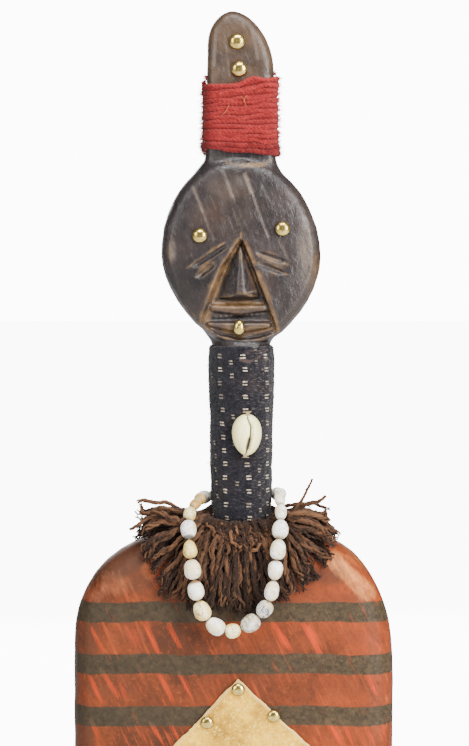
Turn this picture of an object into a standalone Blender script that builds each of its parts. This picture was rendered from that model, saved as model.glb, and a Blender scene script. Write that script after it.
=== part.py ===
"""A carved and painted wooden paddle doll, dressed in yarn, cloth, a fibre fringe, seeds and brass tacks.

Metres, +Z up. The doll stands on its foot at z = 0 and its face looks along -Y.
The origin is the middle of the foot's underside.
"""

import math

import bmesh
import bpy
from mathutils import Matrix, Vector

# Driving dimensions of the carved wood
BOARD_WIDTH = 0.1945
BOARD_HEIGHT = 0.316
BOARD_DEPTH = 0.040
BOARD_EDGE_ROUND = 0.015
LEFT_SHOULDER = (0.057, 0.064)
RIGHT_SHOULDER = (0.050, 0.076)
LOWER_CORNER = 0.038
FOOT_WIDTH = 0.150
FOOT_DEPTH = 0.092
FOOT_HEIGHT = 0.022
FOOT_CORNER = 0.022
FOOT_CHAMFER = 0.004
BOARD_SUNK_IN_FOOT = 0.004
NECK_LENGTH = 0.1135
NECK_RADIUS_LOW = 0.0158
NECK_RADIUS_HIGH = 0.0174
NECK_SHIFT = 0.0046
HEAD_WIDTH = 0.0962
HEAD_CROWN = 0.0598
HEAD_JAW = 0.0558
HEAD_DEPTH = 0.037
HEAD_LEAN = 0.037
CREST_HEIGHT = 0.0876
CREST_WIDTH = 0.0390
CREST_FLARE = 0.0028
CREST_DEPTH = 0.024
CREST_EDGE_ROUND = 0.005
CREST_PEAK_SHIFT = -0.0045

# Driving dimensions of what the wood wears
GAP = 0.0003
FACET_CLEARANCE = 0.0003
YARN_DIAMETER = 0.0028
YARN_LAID_THICKNESS = 0.0019
YARN_TURNS = 16
CLOTH_THICKNESS = 0.0016
CLOTH_ABOVE_JAW = 0.0018
CLOTH_LENGTH = 0.1055
COWRIE_LENGTH = 0.0250
COWRIE_WIDTH = 0.0178
COWRIE_DEPTH = 0.0085
COWRIE_DROP = 0.0530
COWRIE_SHIFT = 0.0034
FRINGE_REACH = 0.064
FRINGE_DROP = 0.0495
FRINGE_THICKNESS = 0.0052
FRINGE_BELT = 0.0060
FRINGE_BELT_RISE = 0.0080
PATCH_THICKNESS = 0.0012
TACK_RADIUS_LARGE = 0.0050
TACK_RADIUS_MEDIUM = 0.0046
TACK_RADIUS_SMALL = 0.0041
TACK_RISE_SHARE = 0.62
TACK_SIDES = 10
STRING_DIAMETER = 0.0010
BEAD_BORE = 0.0024

# Heights that follow from them
BOARD_BOTTOM = FOOT_HEIGHT - BOARD_SUNK_IN_FOOT
SHOULDER_Z = BOARD_BOTTOM + BOARD_HEIGHT
JAW_Z = SHOULDER_Z + NECK_LENGTH
HEAD_Z = JAW_Z + HEAD_JAW
CROWN_Z = HEAD_Z + HEAD_CROWN
CREST_TOP_Z = CROWN_Z + CREST_HEIGHT
CLOTH_TOP_Z = JAW_Z + CLOTH_ABOVE_JAW
CLOTH_HEM_Z = CLOTH_TOP_Z - CLOTH_LENGTH
FRONT = -1

# Colours, roughness and metal of each material
MATERIALS = {
    "dark_wood": ((0.085, 0.055, 0.042), 0.45, 0.0),
    "red_yarn": ((0.62, 0.06, 0.05), 0.95, 0.0),
    "indigo_cloth": ((0.022, 0.020, 0.035), 0.9, 0.0),
    "brown_fibre": ((0.075, 0.032, 0.017), 0.9, 0.0),
    "pale_hide": ((0.60, 0.45, 0.25), 0.6, 0.0),
    "brass": ((0.80, 0.62, 0.22), 0.22, 1.0),
    "cowrie_shell": ((0.88, 0.83, 0.66), 0.25, 0.0),
    "white_seed": ((0.80, 0.78, 0.70), 0.35, 0.0),
    "thread": ((0.30, 0.22, 0.14), 0.9, 0.0),
}


def material(name):
    """The material of that name, made once from the table above."""
    found = bpy.data.materials.get(name)
    if found:
        return found
    colour, roughness, metallic = MATERIALS[name]
    made = bpy.data.materials.new(name)
    made.use_nodes = True
    shader = made.node_tree.nodes["Principled BSDF"]
    shader.inputs["Base Color"].default_value = (*colour, 1)
    shader.inputs["Roughness"].default_value = roughness
    shader.inputs["Metallic"].default_value = metallic
    return made


def place(name, bm, finish, smooth=True):
    """Puts a bmesh into the scene as a named object with outward faces."""
    bmesh.ops.recalc_face_normals(bm, faces=bm.faces)
    mesh = bpy.data.meshes.new(name)
    bm.to_mesh(mesh)
    bm.free()
    if smooth:
        mesh.shade_smooth()
        mesh.set_sharp_from_angle(angle=math.radians(35))
    if finish:
        mesh.materials.append(material(finish))
    made = bpy.data.objects.new(name, mesh)
    bpy.context.scene.collection.objects.link(made)
    return made


def loft(name, rings, finish=None, closed=False, smooth=True):
    """A solid through rings of equal point counts: capped at both ends, or closed on itself."""
    bm = bmesh.new()
    rows = [[bm.verts.new(point) for point in ring] for ring in rings]
    pairs = list(zip(rows, rows[1:]))
    if closed:
        pairs.append((rows[-1], rows[0]))
    for low, high in pairs:
        for i in range(len(low)):
            j = (i + 1) % len(low)
            bm.faces.new((low[i], low[j], high[j], high[i]))
    if not closed:
        bm.faces.new(rows[0])
        bm.faces.new(rows[-1])
    return place(name, bm, finish, smooth)


def hull(name, points):
    """The convex solid round some points, for wedge cuts and carved ridges."""
    bm = bmesh.new()
    for point in points:
        bm.verts.new(point)
    result = bmesh.ops.convex_hull(bm, input=bm.verts)
    inner = [g for g in result["geom_interior"] if isinstance(g, bmesh.types.BMVert)]
    bmesh.ops.delete(bm, geom=inner, context="VERTS")
    return place(name, bm, None, smooth=False)


def combine(target, tool, operation):
    """Joins a tool to the target, or cuts it away, and makes the tool a guide."""
    step = target.modifiers.new(tool.name, "BOOLEAN")
    step.operation = operation
    step.solver = "EXACT"
    step.object = tool
    tool.hide_render = True
    tool.display_type = "WIRE"


def bent(value, power):
    """A sine or cosine made fuller, or sharper for a power under 2, with its sign kept."""
    return math.copysign(abs(value) ** (2 / power), value)


def arc(centre_x, centre_z, radius_x, radius_z, start, end, steps, power=2.0):
    """Points of a superelliptical arc in the plane of the board, angles in degrees."""
    points = []
    for k in range(steps + 1):
        turn = math.radians(start + (end - start) * k / steps)
        x = bent(math.cos(turn), power) * radius_x
        points.append((centre_x + x, centre_z + bent(math.sin(turn), power) * radius_z))
    return points


def inset(outline, amount):
    """An outline moved inwards by amount; it runs anticlockwise as the doll's front is seen."""
    moved = []
    for i, (x, z) in enumerate(outline):
        before = Vector(outline[i - 1])
        after = Vector(outline[(i + 1) % len(outline)])
        here = Vector((x, z))
        first = (here - before).normalized()
        second = (after - here).normalized()
        normal_a = Vector((-first.y, first.x))
        normal_b = Vector((-second.y, second.x))
        mitre = (normal_a + normal_b).normalized()
        moved.append(here + mitre * (amount / max(0.5, mitre.dot(normal_a))))
    return [(p.x, p.y) for p in moved]


def rounded_slab(name, outline, depth, edge, steps=3, finish=None):
    """A slab of the outline's shape whose front and back rims are rounded."""
    rings = []
    for side in (1, FRONT):
        share = [k / steps for k in range(steps + 1)]
        if side == 1:
            share.reverse()
        for s in share:
            turn = s * math.pi / 2
            level = side * (depth / 2 - edge + edge * math.sin(turn))
            rings.append([(x, level, z) for x, z in inset(outline, edge * (1 - math.cos(turn)))])
    return loft(name, rings, finish)


def board_outline(grown=0.0):
    """The paddle's outline: rounded lower corners, straight sides and sloping shoulders."""
    half = BOARD_WIDTH / 2 + grown
    low = BOARD_BOTTOM - grown
    top = SHOULDER_Z + grown
    corner = LOWER_CORNER + grown
    left_run, left_drop = (size + grown for size in LEFT_SHOULDER)
    right_run, right_drop = (size + grown for size in RIGHT_SHOULDER)
    outline = arc(half - corner, low + corner, corner, corner, -90, 0, 5)
    outline += arc(half - right_run, top - right_drop, right_run, right_drop, 0, 90, 9)
    outline += arc(left_run - half, top - left_drop, left_run, left_drop, 90, 180, 9)
    outline += arc(corner - half, low + corner, corner, corner, 180, 270, 5)
    return outline


def neck_radius(z):
    """The tapered neck's radius at a height."""
    share = (z - SHOULDER_Z) / NECK_LENGTH
    return NECK_RADIUS_LOW + (NECK_RADIUS_HIGH - NECK_RADIUS_LOW) * min(1.0, max(0.0, share))


def circle(radius_x, radius_y, z, sides, centre_x=NECK_SHIFT):
    """A level ring of points round the neck's axis."""
    turns = (2 * math.pi * k / sides for k in range(sides))
    return [(centre_x + radius_x * math.cos(t), radius_y * math.sin(t), z) for t in turns]


# The head: each half of its outline is a superellipse, and its front and back are domed.
HEAD_SIDES = 44
JAW_POWER = 1.7
CROWN_POWER = 2.0
HEAD_PROFILE = ((1.0, 0.50), (0.96, 0.76), (0.89, 0.89), (0.62, 0.965), (0.28, 1.0))


def head_rim(turn):
    """A point of the head's outline, from its centre, at an angle round it."""
    power = CROWN_POWER if math.sin(turn) >= 0 else JAW_POWER
    height = HEAD_CROWN if math.sin(turn) >= 0 else HEAD_JAW
    up = bent(math.sin(turn), power)
    across = bent(math.cos(turn), power) - HEAD_LEAN * up
    return across * HEAD_WIDTH / 2, up * height


def head_front(across, up):
    """The y of the head's front at a place given as shares of its half width and height."""
    power = CROWN_POWER if up >= 0 else JAW_POWER
    across += HEAD_LEAN * up
    share = (abs(across) ** power + abs(up) ** power) ** (1 / power)
    profile = sorted(HEAD_PROFILE)
    if share <= profile[0][0]:
        return FRONT * HEAD_DEPTH / 2 * profile[0][1]
    for (s0, d0), (s1, d1) in zip(profile, profile[1:]):
        if share <= s1:
            return FRONT * HEAD_DEPTH / 2 * (d0 + (d1 - d0) * (share - s0) / (s1 - s0))
    return FRONT * HEAD_DEPTH / 2 * profile[-1][1]


def face(across, up, level=None, proud=0.0):
    """A point of the face: shares of the head's half width and height, and a y or the surface's own."""
    height = HEAD_CROWN if up >= 0 else HEAD_JAW
    y = head_front(across, up) if level is None else level
    return (NECK_SHIFT + across * HEAD_WIDTH / 2, y + FRONT * proud, HEAD_Z + up * height)


def head_blank():
    """The uncarved head, from its back dome to its front dome."""
    turns = [2 * math.pi * k / HEAD_SIDES for k in range(HEAD_SIDES)]
    rings = []
    for side, profile in ((1, reversed(HEAD_PROFILE)), (FRONT, HEAD_PROFILE)):
        for scale, share in profile:
            y = side * HEAD_DEPTH / 2 * share
            rim = (head_rim(t) for t in turns)
            rings.append([(NECK_SHIFT + x * scale, y, HEAD_Z + z * scale) for x, z in rim])
    return loft("head_blank", rings)


# The carved face, as shares of the head's half width and of its height above or below its middle
RECESS_OUTLINE = (
    (0.0, 0.215), (-0.26, -0.11), (-0.565, -0.745), (-0.31, -0.88), (-0.05, -0.925), (0.21, -0.915),
    (0.495, -0.845),
)
RECESS_LEVEL = -0.64 * HEAD_DEPTH / 2
RECESS_WALL_SLOPE = 0.35
RECESS_WALL_SHIFT = 0.0008
CARVING_ROOT = -0.52 * HEAD_DEPTH / 2
CUTTER_PROUD = 0.003
EYE_CUTS = (
    ((-0.08, 0.17), (-0.70, -0.16)),
    ((-0.30, -0.05), (-0.59, -0.25)),
    ((0.14, 0.06), (0.63, -0.08)),
    ((0.17, -0.06), (0.60, -0.20)),
)
EYE_CUT_WIDTH = 0.0026
EYE_CUT_DEPTH = 0.0026


def recess_cutter():
    """The wedge that sinks a triangle round the nose and mouth; its left wall slopes more."""
    proud = FRONT * (HEAD_DEPTH / 2 + 0.0005)
    outline = [(x, z) for x, y, z in (face(*corner) for corner in RECESS_OUTLINE)]
    floor = inset(outline, RECESS_WALL_SLOPE * abs(RECESS_LEVEL - proud))
    points = [(x, proud, z) for x, z in outline]
    points += [(x + RECESS_WALL_SHIFT, RECESS_LEVEL, z) for x, z in floor]
    return hull("recess_cutter", points)


def eye_cutter(number, inner, outer):
    """One knife cut of an eye: a long V that runs out at both ends."""
    start, end = Vector(inner), Vector(outer)
    along = (Vector(face(*outer)) - Vector(face(*inner))).normalized()
    side = along.cross(Vector((0, 1, 0))).normalized() * EYE_CUT_WIDTH
    points = []
    for share, depth in ((0.0, -0.0003), (0.25, EYE_CUT_DEPTH), (0.75, EYE_CUT_DEPTH), (1.0, -0.0003)):
        here = start.lerp(end, share)
        points.append(face(here.x, here.y, proud=-depth))
        over = Vector(face(here.x, here.y, proud=CUTTER_PROUD))
        spread = 1.6 if depth > 0 else 0.6
        points += [over + side * spread, over - side * spread]
    return hull(f"eye_cutter_{number}", points)


def nose():
    """The nose: a three-sided ridge from between the eyes to flared nostrils."""
    tip = FRONT * (HEAD_DEPTH / 2 + 0.0022)
    ridge = FRONT * HEAD_DEPTH / 2 * 0.90
    wing = FRONT * HEAD_DEPTH / 2 * 0.96
    return hull("nose", [
        face(-0.010, 0.13, CARVING_ROOT),
        face(-0.36, -0.46, CARVING_ROOT),
        face(0.29, -0.455, CARVING_ROOT),
        face(-0.010, 0.10, ridge),
        face(-0.045, -0.40, tip),
        face(0.045, -0.40, tip),
        face(-0.14, -0.435, wing),
        face(0.13, -0.43, wing),
        face(0.0, -0.47, FRONT * HEAD_DEPTH / 2 * 0.80),
    ])


def lip(name, top, bottom, level):
    """A lip: a raised bar with a chamfered front between a top line and a sagging bottom line."""
    points = []
    middle_z = (top[1] + bottom[1][1]) / 2
    for x, z in (*top[0], *bottom):
        points.append(face(x, z, CARVING_ROOT))
        points.append(face(x * 0.94, middle_z + (z - middle_z) * 0.78, level))
    return hull(name, points)


UPPER_LIP_TOP = -0.515
UPPER_LIP = (((-0.40, UPPER_LIP_TOP), (0.31, UPPER_LIP_TOP)), UPPER_LIP_TOP)
UPPER_LIP_LOW = ((-0.40, -0.590), (-0.02, -0.640), (0.33, -0.590))
LOWER_LIP_TOP = -0.700
LOWER_LIP = (((-0.46, LOWER_LIP_TOP), (0.39, LOWER_LIP_TOP)), LOWER_LIP_TOP)
LOWER_LIP_LOW = ((-0.42, -0.745), (-0.02, -0.830), (0.38, -0.765))
LIP_LEVEL = -0.86 * HEAD_DEPTH / 2


def carved_head():
    """The head with its face cut in and its nose and lips left standing."""
    head = head_blank()
    combine(head, recess_cutter(), "DIFFERENCE")
    for number, (inner, outer) in enumerate(EYE_CUTS, 1):
        combine(head, eye_cutter(number, inner, outer), "DIFFERENCE")
    combine(head, nose(), "UNION")
    combine(head, lip("upper_lip", UPPER_LIP, UPPER_LIP_LOW, LIP_LEVEL), "UNION")
    combine(head, lip("lower_lip", LOWER_LIP, LOWER_LIP_LOW, LIP_LEVEL), "UNION")
    return head


# The crest: a tongue with a lopsided pointed top, shares of its own width and height
CREST_SHIFT = 0.0042
LEFT_TIP_DROP = 0.217
RIGHT_TIP_DROP = 0.380
LEFT_TIP_POWER = 1.9
RIGHT_TIP_POWER = 1.72
# How the crest's sides flare into the head, as shares of its width: drop below the crown, left and right spread
CREST_ROOT_FLARE = ((0.67, 0.22, 0.155), (0.28, 0.20, 0.123), (0.154, 0.103, 0.051), (0.051, 0.015, 0.010))


def crest_half(z):
    """Half the crest's width at a height: it widens towards the head."""
    share = (CREST_TOP_Z - z) / CREST_HEIGHT
    return CREST_WIDTH / 2 + CREST_FLARE / 2 * share


def crest_outline():
    """The crest's outline, from its root in the head up the right side and down the left."""
    peak_x = CREST_SHIFT + CREST_PEAK_SHIFT
    right_z = CREST_TOP_Z - RIGHT_TIP_DROP * CREST_HEIGHT
    left_z = CREST_TOP_Z - LEFT_TIP_DROP * CREST_HEIGHT
    right_x = CREST_SHIFT + crest_half(right_z)
    left_x = CREST_SHIFT - crest_half(left_z)
    outline = []
    for drop, left, right in CREST_ROOT_FLARE:
        half = crest_half(CROWN_Z)
        level = CROWN_Z - drop * CREST_WIDTH
        outline.insert(0, (CREST_SHIFT - half - left * CREST_WIDTH, level))
        outline.append((CREST_SHIFT + half + right * CREST_WIDTH, level))
    outline += arc(peak_x, right_z, right_x - peak_x, CREST_TOP_Z - right_z, 0, 90, 8, RIGHT_TIP_POWER)
    outline += arc(peak_x, left_z, peak_x - left_x, CREST_TOP_Z - left_z, 90, 180, 6, LEFT_TIP_POWER)[1:]
    return outline


# The neck above the cloth: rise, half width and half depth, as shares of its upper radius
NECK_SIDES = 28
JAW_SPREAD = ((0.0, 1.0, 1.0), (0.17, 1.08, 0.86), (0.52, 1.34, 0.62), (1.03, 1.0, 0.35))


def neck_blank():
    """The neck, which spreads sideways into the jaw above the cloth."""
    radius = NECK_RADIUS_LOW
    rings = [circle(radius, radius, z, NECK_SIDES) for z in (SHOULDER_Z - BOARD_DEPTH / 2, SHOULDER_Z)]
    for rise, across, deep in JAW_SPREAD:
        z = CLOTH_TOP_Z + rise * NECK_RADIUS_HIGH
        rings.append(circle(across * NECK_RADIUS_HIGH, deep * NECK_RADIUS_HIGH, z, NECK_SIDES))
    return loft("neck_blank", rings)


def foot_blank():
    """The low foot under the board, with a chamfered top edge."""
    half_x, half_y = FOOT_WIDTH / 2 - FOOT_CORNER, FOOT_DEPTH / 2 - FOOT_CORNER

    def plan(shrink, z):
        radius = FOOT_CORNER - shrink
        points = []
        for quarter, (sx, sy) in enumerate(((1, 1), (-1, 1), (-1, -1), (1, -1))):
            corner = arc(sx * half_x, sy * half_y, radius, radius, 90 * quarter, 90 * quarter + 90, 5)
            points += [(x, y, z) for x, y in corner]
        return points

    rings = [plan(FOOT_CHAMFER / 4, 0), plan(0, FOOT_CHAMFER / 4)]
    rings += [plan(0, FOOT_HEIGHT - FOOT_CHAMFER), plan(FOOT_CHAMFER, FOOT_HEIGHT)]
    return loft("foot_blank", rings)


def carved_figure():
    """Foot, board, neck, head and crest, carved from one piece of wood."""
    figure = rounded_slab("carved_figure", board_outline(), BOARD_DEPTH, BOARD_EDGE_ROUND, 3, "dark_wood")
    combine(figure, foot_blank(), "UNION")
    combine(figure, neck_blank(), "UNION")
    combine(figure, carved_head(), "UNION")
    crest = rounded_slab("crest_blank", crest_outline(), CREST_DEPTH, CREST_EDGE_ROUND, 2)
    combine(figure, crest, "UNION")
    return figure


# The yarn wound round the crest: its ends slope, so its turns fan out to the right
YARN_START = 0.0012
YARN_LOW_SLOPE = -0.11
YARN_HIGH_SLOPE = 0.14
YARN_CORNER_STEPS = 3
YARN_HEIGHT = YARN_TURNS * YARN_DIAMETER
YARN_BOTTOM_Z = CROWN_Z + YARN_START


def crest_section(z, out):
    """The crest's level section grown by out: a rectangle with round corners."""
    radius = CREST_EDGE_ROUND + out
    half_x = crest_half(z) - CREST_EDGE_ROUND
    half_y = CREST_DEPTH / 2 - CREST_EDGE_ROUND
    points = []
    for quarter, (sx, sy) in enumerate(((1, 1), (-1, 1), (-1, -1), (1, -1))):
        centre_x = CREST_SHIFT + sx * half_x
        start = 90 * quarter
        points += arc(centre_x, sy * half_y, radius, radius, start, start + 90, YARN_CORNER_STEPS)
    return points


def yarn_level(share, x):
    """The height of the yarn's turns at a share of their way up, at a place across the crest."""
    slope = YARN_LOW_SLOPE + (YARN_HIGH_SLOPE - YARN_LOW_SLOPE) * share
    return YARN_BOTTOM_Z + YARN_HEIGHT * share + slope * (x - CREST_SHIFT)


def crest_yarn():
    """The wound yarn as one sleeve with a ridge for each turn."""
    def ring(share, out):
        level = YARN_BOTTOM_Z + YARN_HEIGHT * share
        return [(x, y, yarn_level(share, x)) for x, y in crest_section(level, out)]

    inner = GAP + FACET_CLEARANCE
    rings = [ring(0, inner)]
    for turn in range(YARN_TURNS):
        rings.append(ring(turn / YARN_TURNS, inner + YARN_LAID_THICKNESS * 0.5))
        rings.append(ring((turn + 0.5) / YARN_TURNS, inner + YARN_LAID_THICKNESS))
    rings.append(ring(1, inner + YARN_LAID_THICKNESS * 0.5))
    rings.append(ring(1, inner))
    return loft("crest_yarn", rings, "red_yarn", closed=True)


# The cloth round the neck: shares of its length, and how much thicker it is there, a share of its thickness
CLOTH_SIDES = 28
CLOTH_SWELL = ((0.0, 0.0), (0.25, 0.12), (0.5, 0.0), (0.8, 0.31), (0.93, 0.19), (1.0, -0.25))


def cloth_inner(z):
    """The cloth's inner radius at a height: the neck and the gap to it."""
    return neck_radius(z) + GAP + FACET_CLEARANCE


def cloth_outer(z):
    """The cloth's outer radius at a height."""
    share = (z - CLOTH_HEM_Z) / CLOTH_LENGTH
    swell = 0.0
    for (s0, w0), (s1, w1) in zip(CLOTH_SWELL, CLOTH_SWELL[1:]):
        if s0 <= share <= s1:
            swell = w0 + (w1 - w0) * (share - s0) / (s1 - s0)
    return cloth_inner(z) + CLOTH_THICKNESS * (1 + swell)


def neck_cloth():
    """The indigo cloth wrapped round the neck, a sleeve."""
    heights = [CLOTH_HEM_Z + CLOTH_LENGTH * share for share, swell in CLOTH_SWELL]
    rings = [circle(cloth_outer(z), cloth_outer(z), z, CLOTH_SIDES) for z in heights]
    rings += [circle(cloth_inner(z), cloth_inner(z), z, CLOTH_SIDES) for z in (CLOTH_TOP_Z, CLOTH_HEM_Z)]
    return loft("neck_cloth", rings, "indigo_cloth", closed=True)


def cowrie():
    """The cowrie sewn on the cloth: a flat-backed egg with a toothed slit down its middle."""
    centre_z = CLOTH_TOP_Z - COWRIE_DROP
    back = FRONT * (cloth_outer(centre_z) + GAP + FACET_CLEARANCE)
    sides, levels = 20, 4
    rings = []
    for level in range(levels + 1):
        lift = math.sin(level / levels * math.pi / 2 * 0.93)
        shrink = math.cos(level / levels * math.pi / 2 * 0.93) ** 0.72
        ring = []
        for k in range(sides):
            turn = 2 * math.pi * k / sides
            egg = 1 - 0.10 * math.sin(turn)
            x = COWRIE_WIDTH / 2 * math.cos(turn) * egg * shrink
            z = COWRIE_LENGTH / 2 * math.sin(turn) * shrink
            ring.append((NECK_SHIFT + COWRIE_SHIFT + x, back + FRONT * COWRIE_DEPTH * lift, centre_z - z))
        rings.append(ring)
    shell = loft("cowrie_shell", rings, "cowrie_shell")
    front = back + FRONT * COWRIE_DEPTH
    bends = ((0.40, 0.0), (0.20, 0.16), (-0.02, 0.14), (-0.24, 0.0), (-0.42, -0.08))
    for number, (upper, lower) in enumerate(zip(bends, bends[1:]), 1):
        points = []
        for share_z, share_x in (upper, lower):
            x = NECK_SHIFT + COWRIE_SHIFT + share_x * COWRIE_WIDTH / 2
            z = centre_z + share_z * COWRIE_LENGTH
            points.append((x, front + 0.0022, z))
            points += [(x - 0.0011, front - 0.002, z), (x + 0.0011, front - 0.002, z)]
        combine(shell, hull(f"slit_cutter_{number}", points), "DIFFERENCE")
    return shell


# The fringe's outline as the doll's front is seen, anticlockwise from the middle of its hem:
# shares of its reach to the side, and of its drop below the shoulders (negative) or rise above them
FRINGE_OUTLINE = (
    (0.02, -0.98), (0.14, -0.92), (0.26, -1.0), (0.37, -0.94), (0.49, -1.02), (0.57, -0.88), (0.66, -0.84),
    (0.73, -0.62), (0.84, -0.56), (0.87, -0.34), (0.96, -0.22), (0.90, -0.02), (0.97, 0.05), (0.95, 0.22),
    (0.80, 0.32), (0.66, 0.33), (0.55, 0.20), (0.42, 0.17), (-0.38, 0.17), (-0.52, 0.19), (-0.64, 0.33),
    (-0.80, 0.36), (-0.93, 0.30), (-1.0, 0.07), (-0.91, -0.04), (-0.90, -0.20), (-0.79, -0.28), (-0.81, -0.48),
    (-0.68, -0.56), (-0.66, -0.74), (-0.54, -0.72), (-0.43, -0.84), (-0.31, -0.80), (-0.20, -0.94),
    (-0.09, -0.90),
)
# Its section from the middle of its depth to its front: share of the half depth, and of the outline's size
FRINGE_PROFILE = ((0.0, 1.0), (0.45, 0.99), (0.75, 0.95), (0.90, 0.88), (0.98, 0.76), (1.0, 0.45))
FRINGE_RIDGE = 0.0007
FRINGE_MIDDLE = -0.25
FRINGE_BELT_SIDES = 32


def fringe_belt():
    """The belt that the strands hang from: a short drum whose top rises towards the back."""
    radius = cloth_outer(CLOTH_HEM_Z) + FRINGE_BELT
    front_height = CLOTH_HEM_Z - GAP - SHOULDER_Z
    rings = []
    for size, share in ((radius, 0.0), (radius, 0.7), (radius - FRINGE_BELT * 0.4, 1.0)):
        ring = []
        for x, y, z in circle(size, size, 0, FRINGE_BELT_SIDES):
            height = front_height + FRINGE_BELT_RISE * (1 + y / radius) / 2
            ring.append((x, y, SHOULDER_Z + height * share))
        rings.append(ring)
    return loft("fringe_belt", rings)


def fringe():
    """The fringe as one solid: strands that fan from a belt round the neck over both faces of the board."""
    middle = SHOULDER_Z + FRINGE_MIDDLE * FRINGE_DROP
    half_depth = BOARD_DEPTH / 2 + FRINGE_THICKNESS

    def ring(side, share, scale):
        points = []
        for number, (across, up) in enumerate(FRINGE_OUTLINE):
            ridge = FRINGE_RIDGE * share if number % 2 else 0.0
            z = middle + scale * (up - FRINGE_MIDDLE) * FRINGE_DROP
            points.append((scale * across * FRINGE_REACH, side * (half_depth * share - ridge), z))
        return points

    rings = [ring(1, share, scale) for share, scale in reversed(FRINGE_PROFILE)]
    rings += [ring(FRONT, share, scale) for share, scale in FRINGE_PROFILE[1:]]
    skirt = loft("fringe", rings, "brown_fibre")
    combine(skirt, fringe_belt(), "UNION")
    clear = GAP + FACET_CLEARANCE
    board = rounded_slab("board_clearance", board_outline(clear), BOARD_DEPTH + 2 * clear,
                         BOARD_EDGE_ROUND + clear, 3)
    combine(skirt, board, "DIFFERENCE")
    low, hem_z, high = SHOULDER_Z - BOARD_DEPTH / 2, CLOTH_HEM_Z - GAP, CLOTH_HEM_Z + 2 * FRINGE_BELT_RISE
    below = neck_radius(SHOULDER_Z) + 2 * clear
    above = cloth_outer(CLOTH_HEM_Z + FRINGE_BELT_RISE) + clear
    sleeve = [circle(below, below, low, FRINGE_BELT_SIDES), circle(below, below, hem_z, FRINGE_BELT_SIDES)]
    sleeve += [circle(above, above, hem_z, FRINGE_BELT_SIDES), circle(above, above, high, FRINGE_BELT_SIDES)]
    combine(skirt, loft("neck_clearance", sleeve), "DIFFERENCE")
    return skirt


# The hide diamond nailed on the board: its corners from its middle, clockwise from the top
PATCH_SHIFT = 0.0045
PATCH_DROP = 0.1540
PATCH_CORNERS = ((-0.0018, 0.0680), (0.0690, 0.0010), (0.0, -0.0680), (-0.0670, -0.0005))
PATCH_BULGE = 0.0012
PATCH_TACK_INSETS = (0.0012, 0.0040, 0.0036, 0.0046, 0.0034, 0.0042, 0.0038, 0.0044)
PATCH_CORNER_INSET = 0.0058
PATCH_TACK_SHARES = (0.315, 0.665)


def patch_corners():
    """The diamond's corners on the board's front."""
    return [Vector((PATCH_SHIFT + x, SHOULDER_Z - PATCH_DROP + z)) for x, z in PATCH_CORNERS]


def patch_front():
    """The y of the hide's outer face."""
    return FRONT * (BOARD_DEPTH / 2 + GAP + PATCH_THICKNESS)


def hide_patch():
    """The diamond of hide, flat on the board's front, with hand-cut edges that bow a little."""
    corners = patch_corners()
    outline = []
    for here, after in zip(corners, corners[1:] + corners[:1]):
        along = after - here
        outward = Vector((-along.y, along.x)).normalized()
        for share in (0.0, 0.3, 0.65):
            outline.append(here + along * share + outward * PATCH_BULGE * math.sin(math.pi * share))
    outline.reverse()
    back = patch_front() - FRONT * PATCH_THICKNESS
    rings = [[(p.x, y, p.y) for p in outline] for y in (back, patch_front())]
    return loft("hide_patch", rings, "pale_hide", smooth=False)


def tack(name, point, outward, radius, squeeze=1.0):
    """A domed brass tack head whose flat underside faces the wood."""
    rings = []
    for level in range(3):
        turn = level / 3 * math.pi / 2
        ring_radius = radius * math.cos(turn)
        height = radius * TACK_RISE_SHARE * math.sin(turn)
        ring = []
        for k in range(TACK_SIDES):
            angle = 2 * math.pi * k / TACK_SIDES
            ring.append((ring_radius * math.cos(angle) * squeeze, ring_radius * math.sin(angle), height))
        rings.append(ring)
    rings[-1] = [(x * 0.9, y * 0.9, radius * TACK_RISE_SHARE * 0.97) for x, y, z in rings[-1]]
    made = loft(name, rings, "brass")
    facing = Vector(outward).normalized()
    made.rotation_mode = "QUATERNION"
    made.rotation_quaternion = facing.to_track_quat("Z", "Y")
    made.location = Vector(point) + facing * GAP
    return made


# Places of the crest's tacks, and of the face's as shares of the head's half width and height
CREST_TACK_SHIFTS = (-0.0020, -0.0008)
CREST_TACK_CLEARANCE = 0.0015
CREST_TACK_CLIMB = 0.466
LEFT_EYE_TACK = (-0.516, 0.209)
RIGHT_EYE_TACK = (0.514, 0.278)
MOUTH_TACK = (-0.025, -0.765)
MOUTH_TACK_SQUEEZE = 0.72


def surface_tack(name, across, up, radius):
    """A tack on the curved face, square to the wood there."""
    step = 0.05
    middle = Vector(face(across, up))
    sideways = Vector(face(across + step, up)) - Vector(face(across - step, up))
    upward = Vector(face(across, up + step)) - Vector(face(across, up - step))
    outward = upward.cross(sideways).normalized()
    if outward.y > 0:
        outward.negate()
    seated = middle + outward * FACET_CLEARANCE
    return tack(name, seated, outward, radius)


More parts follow.
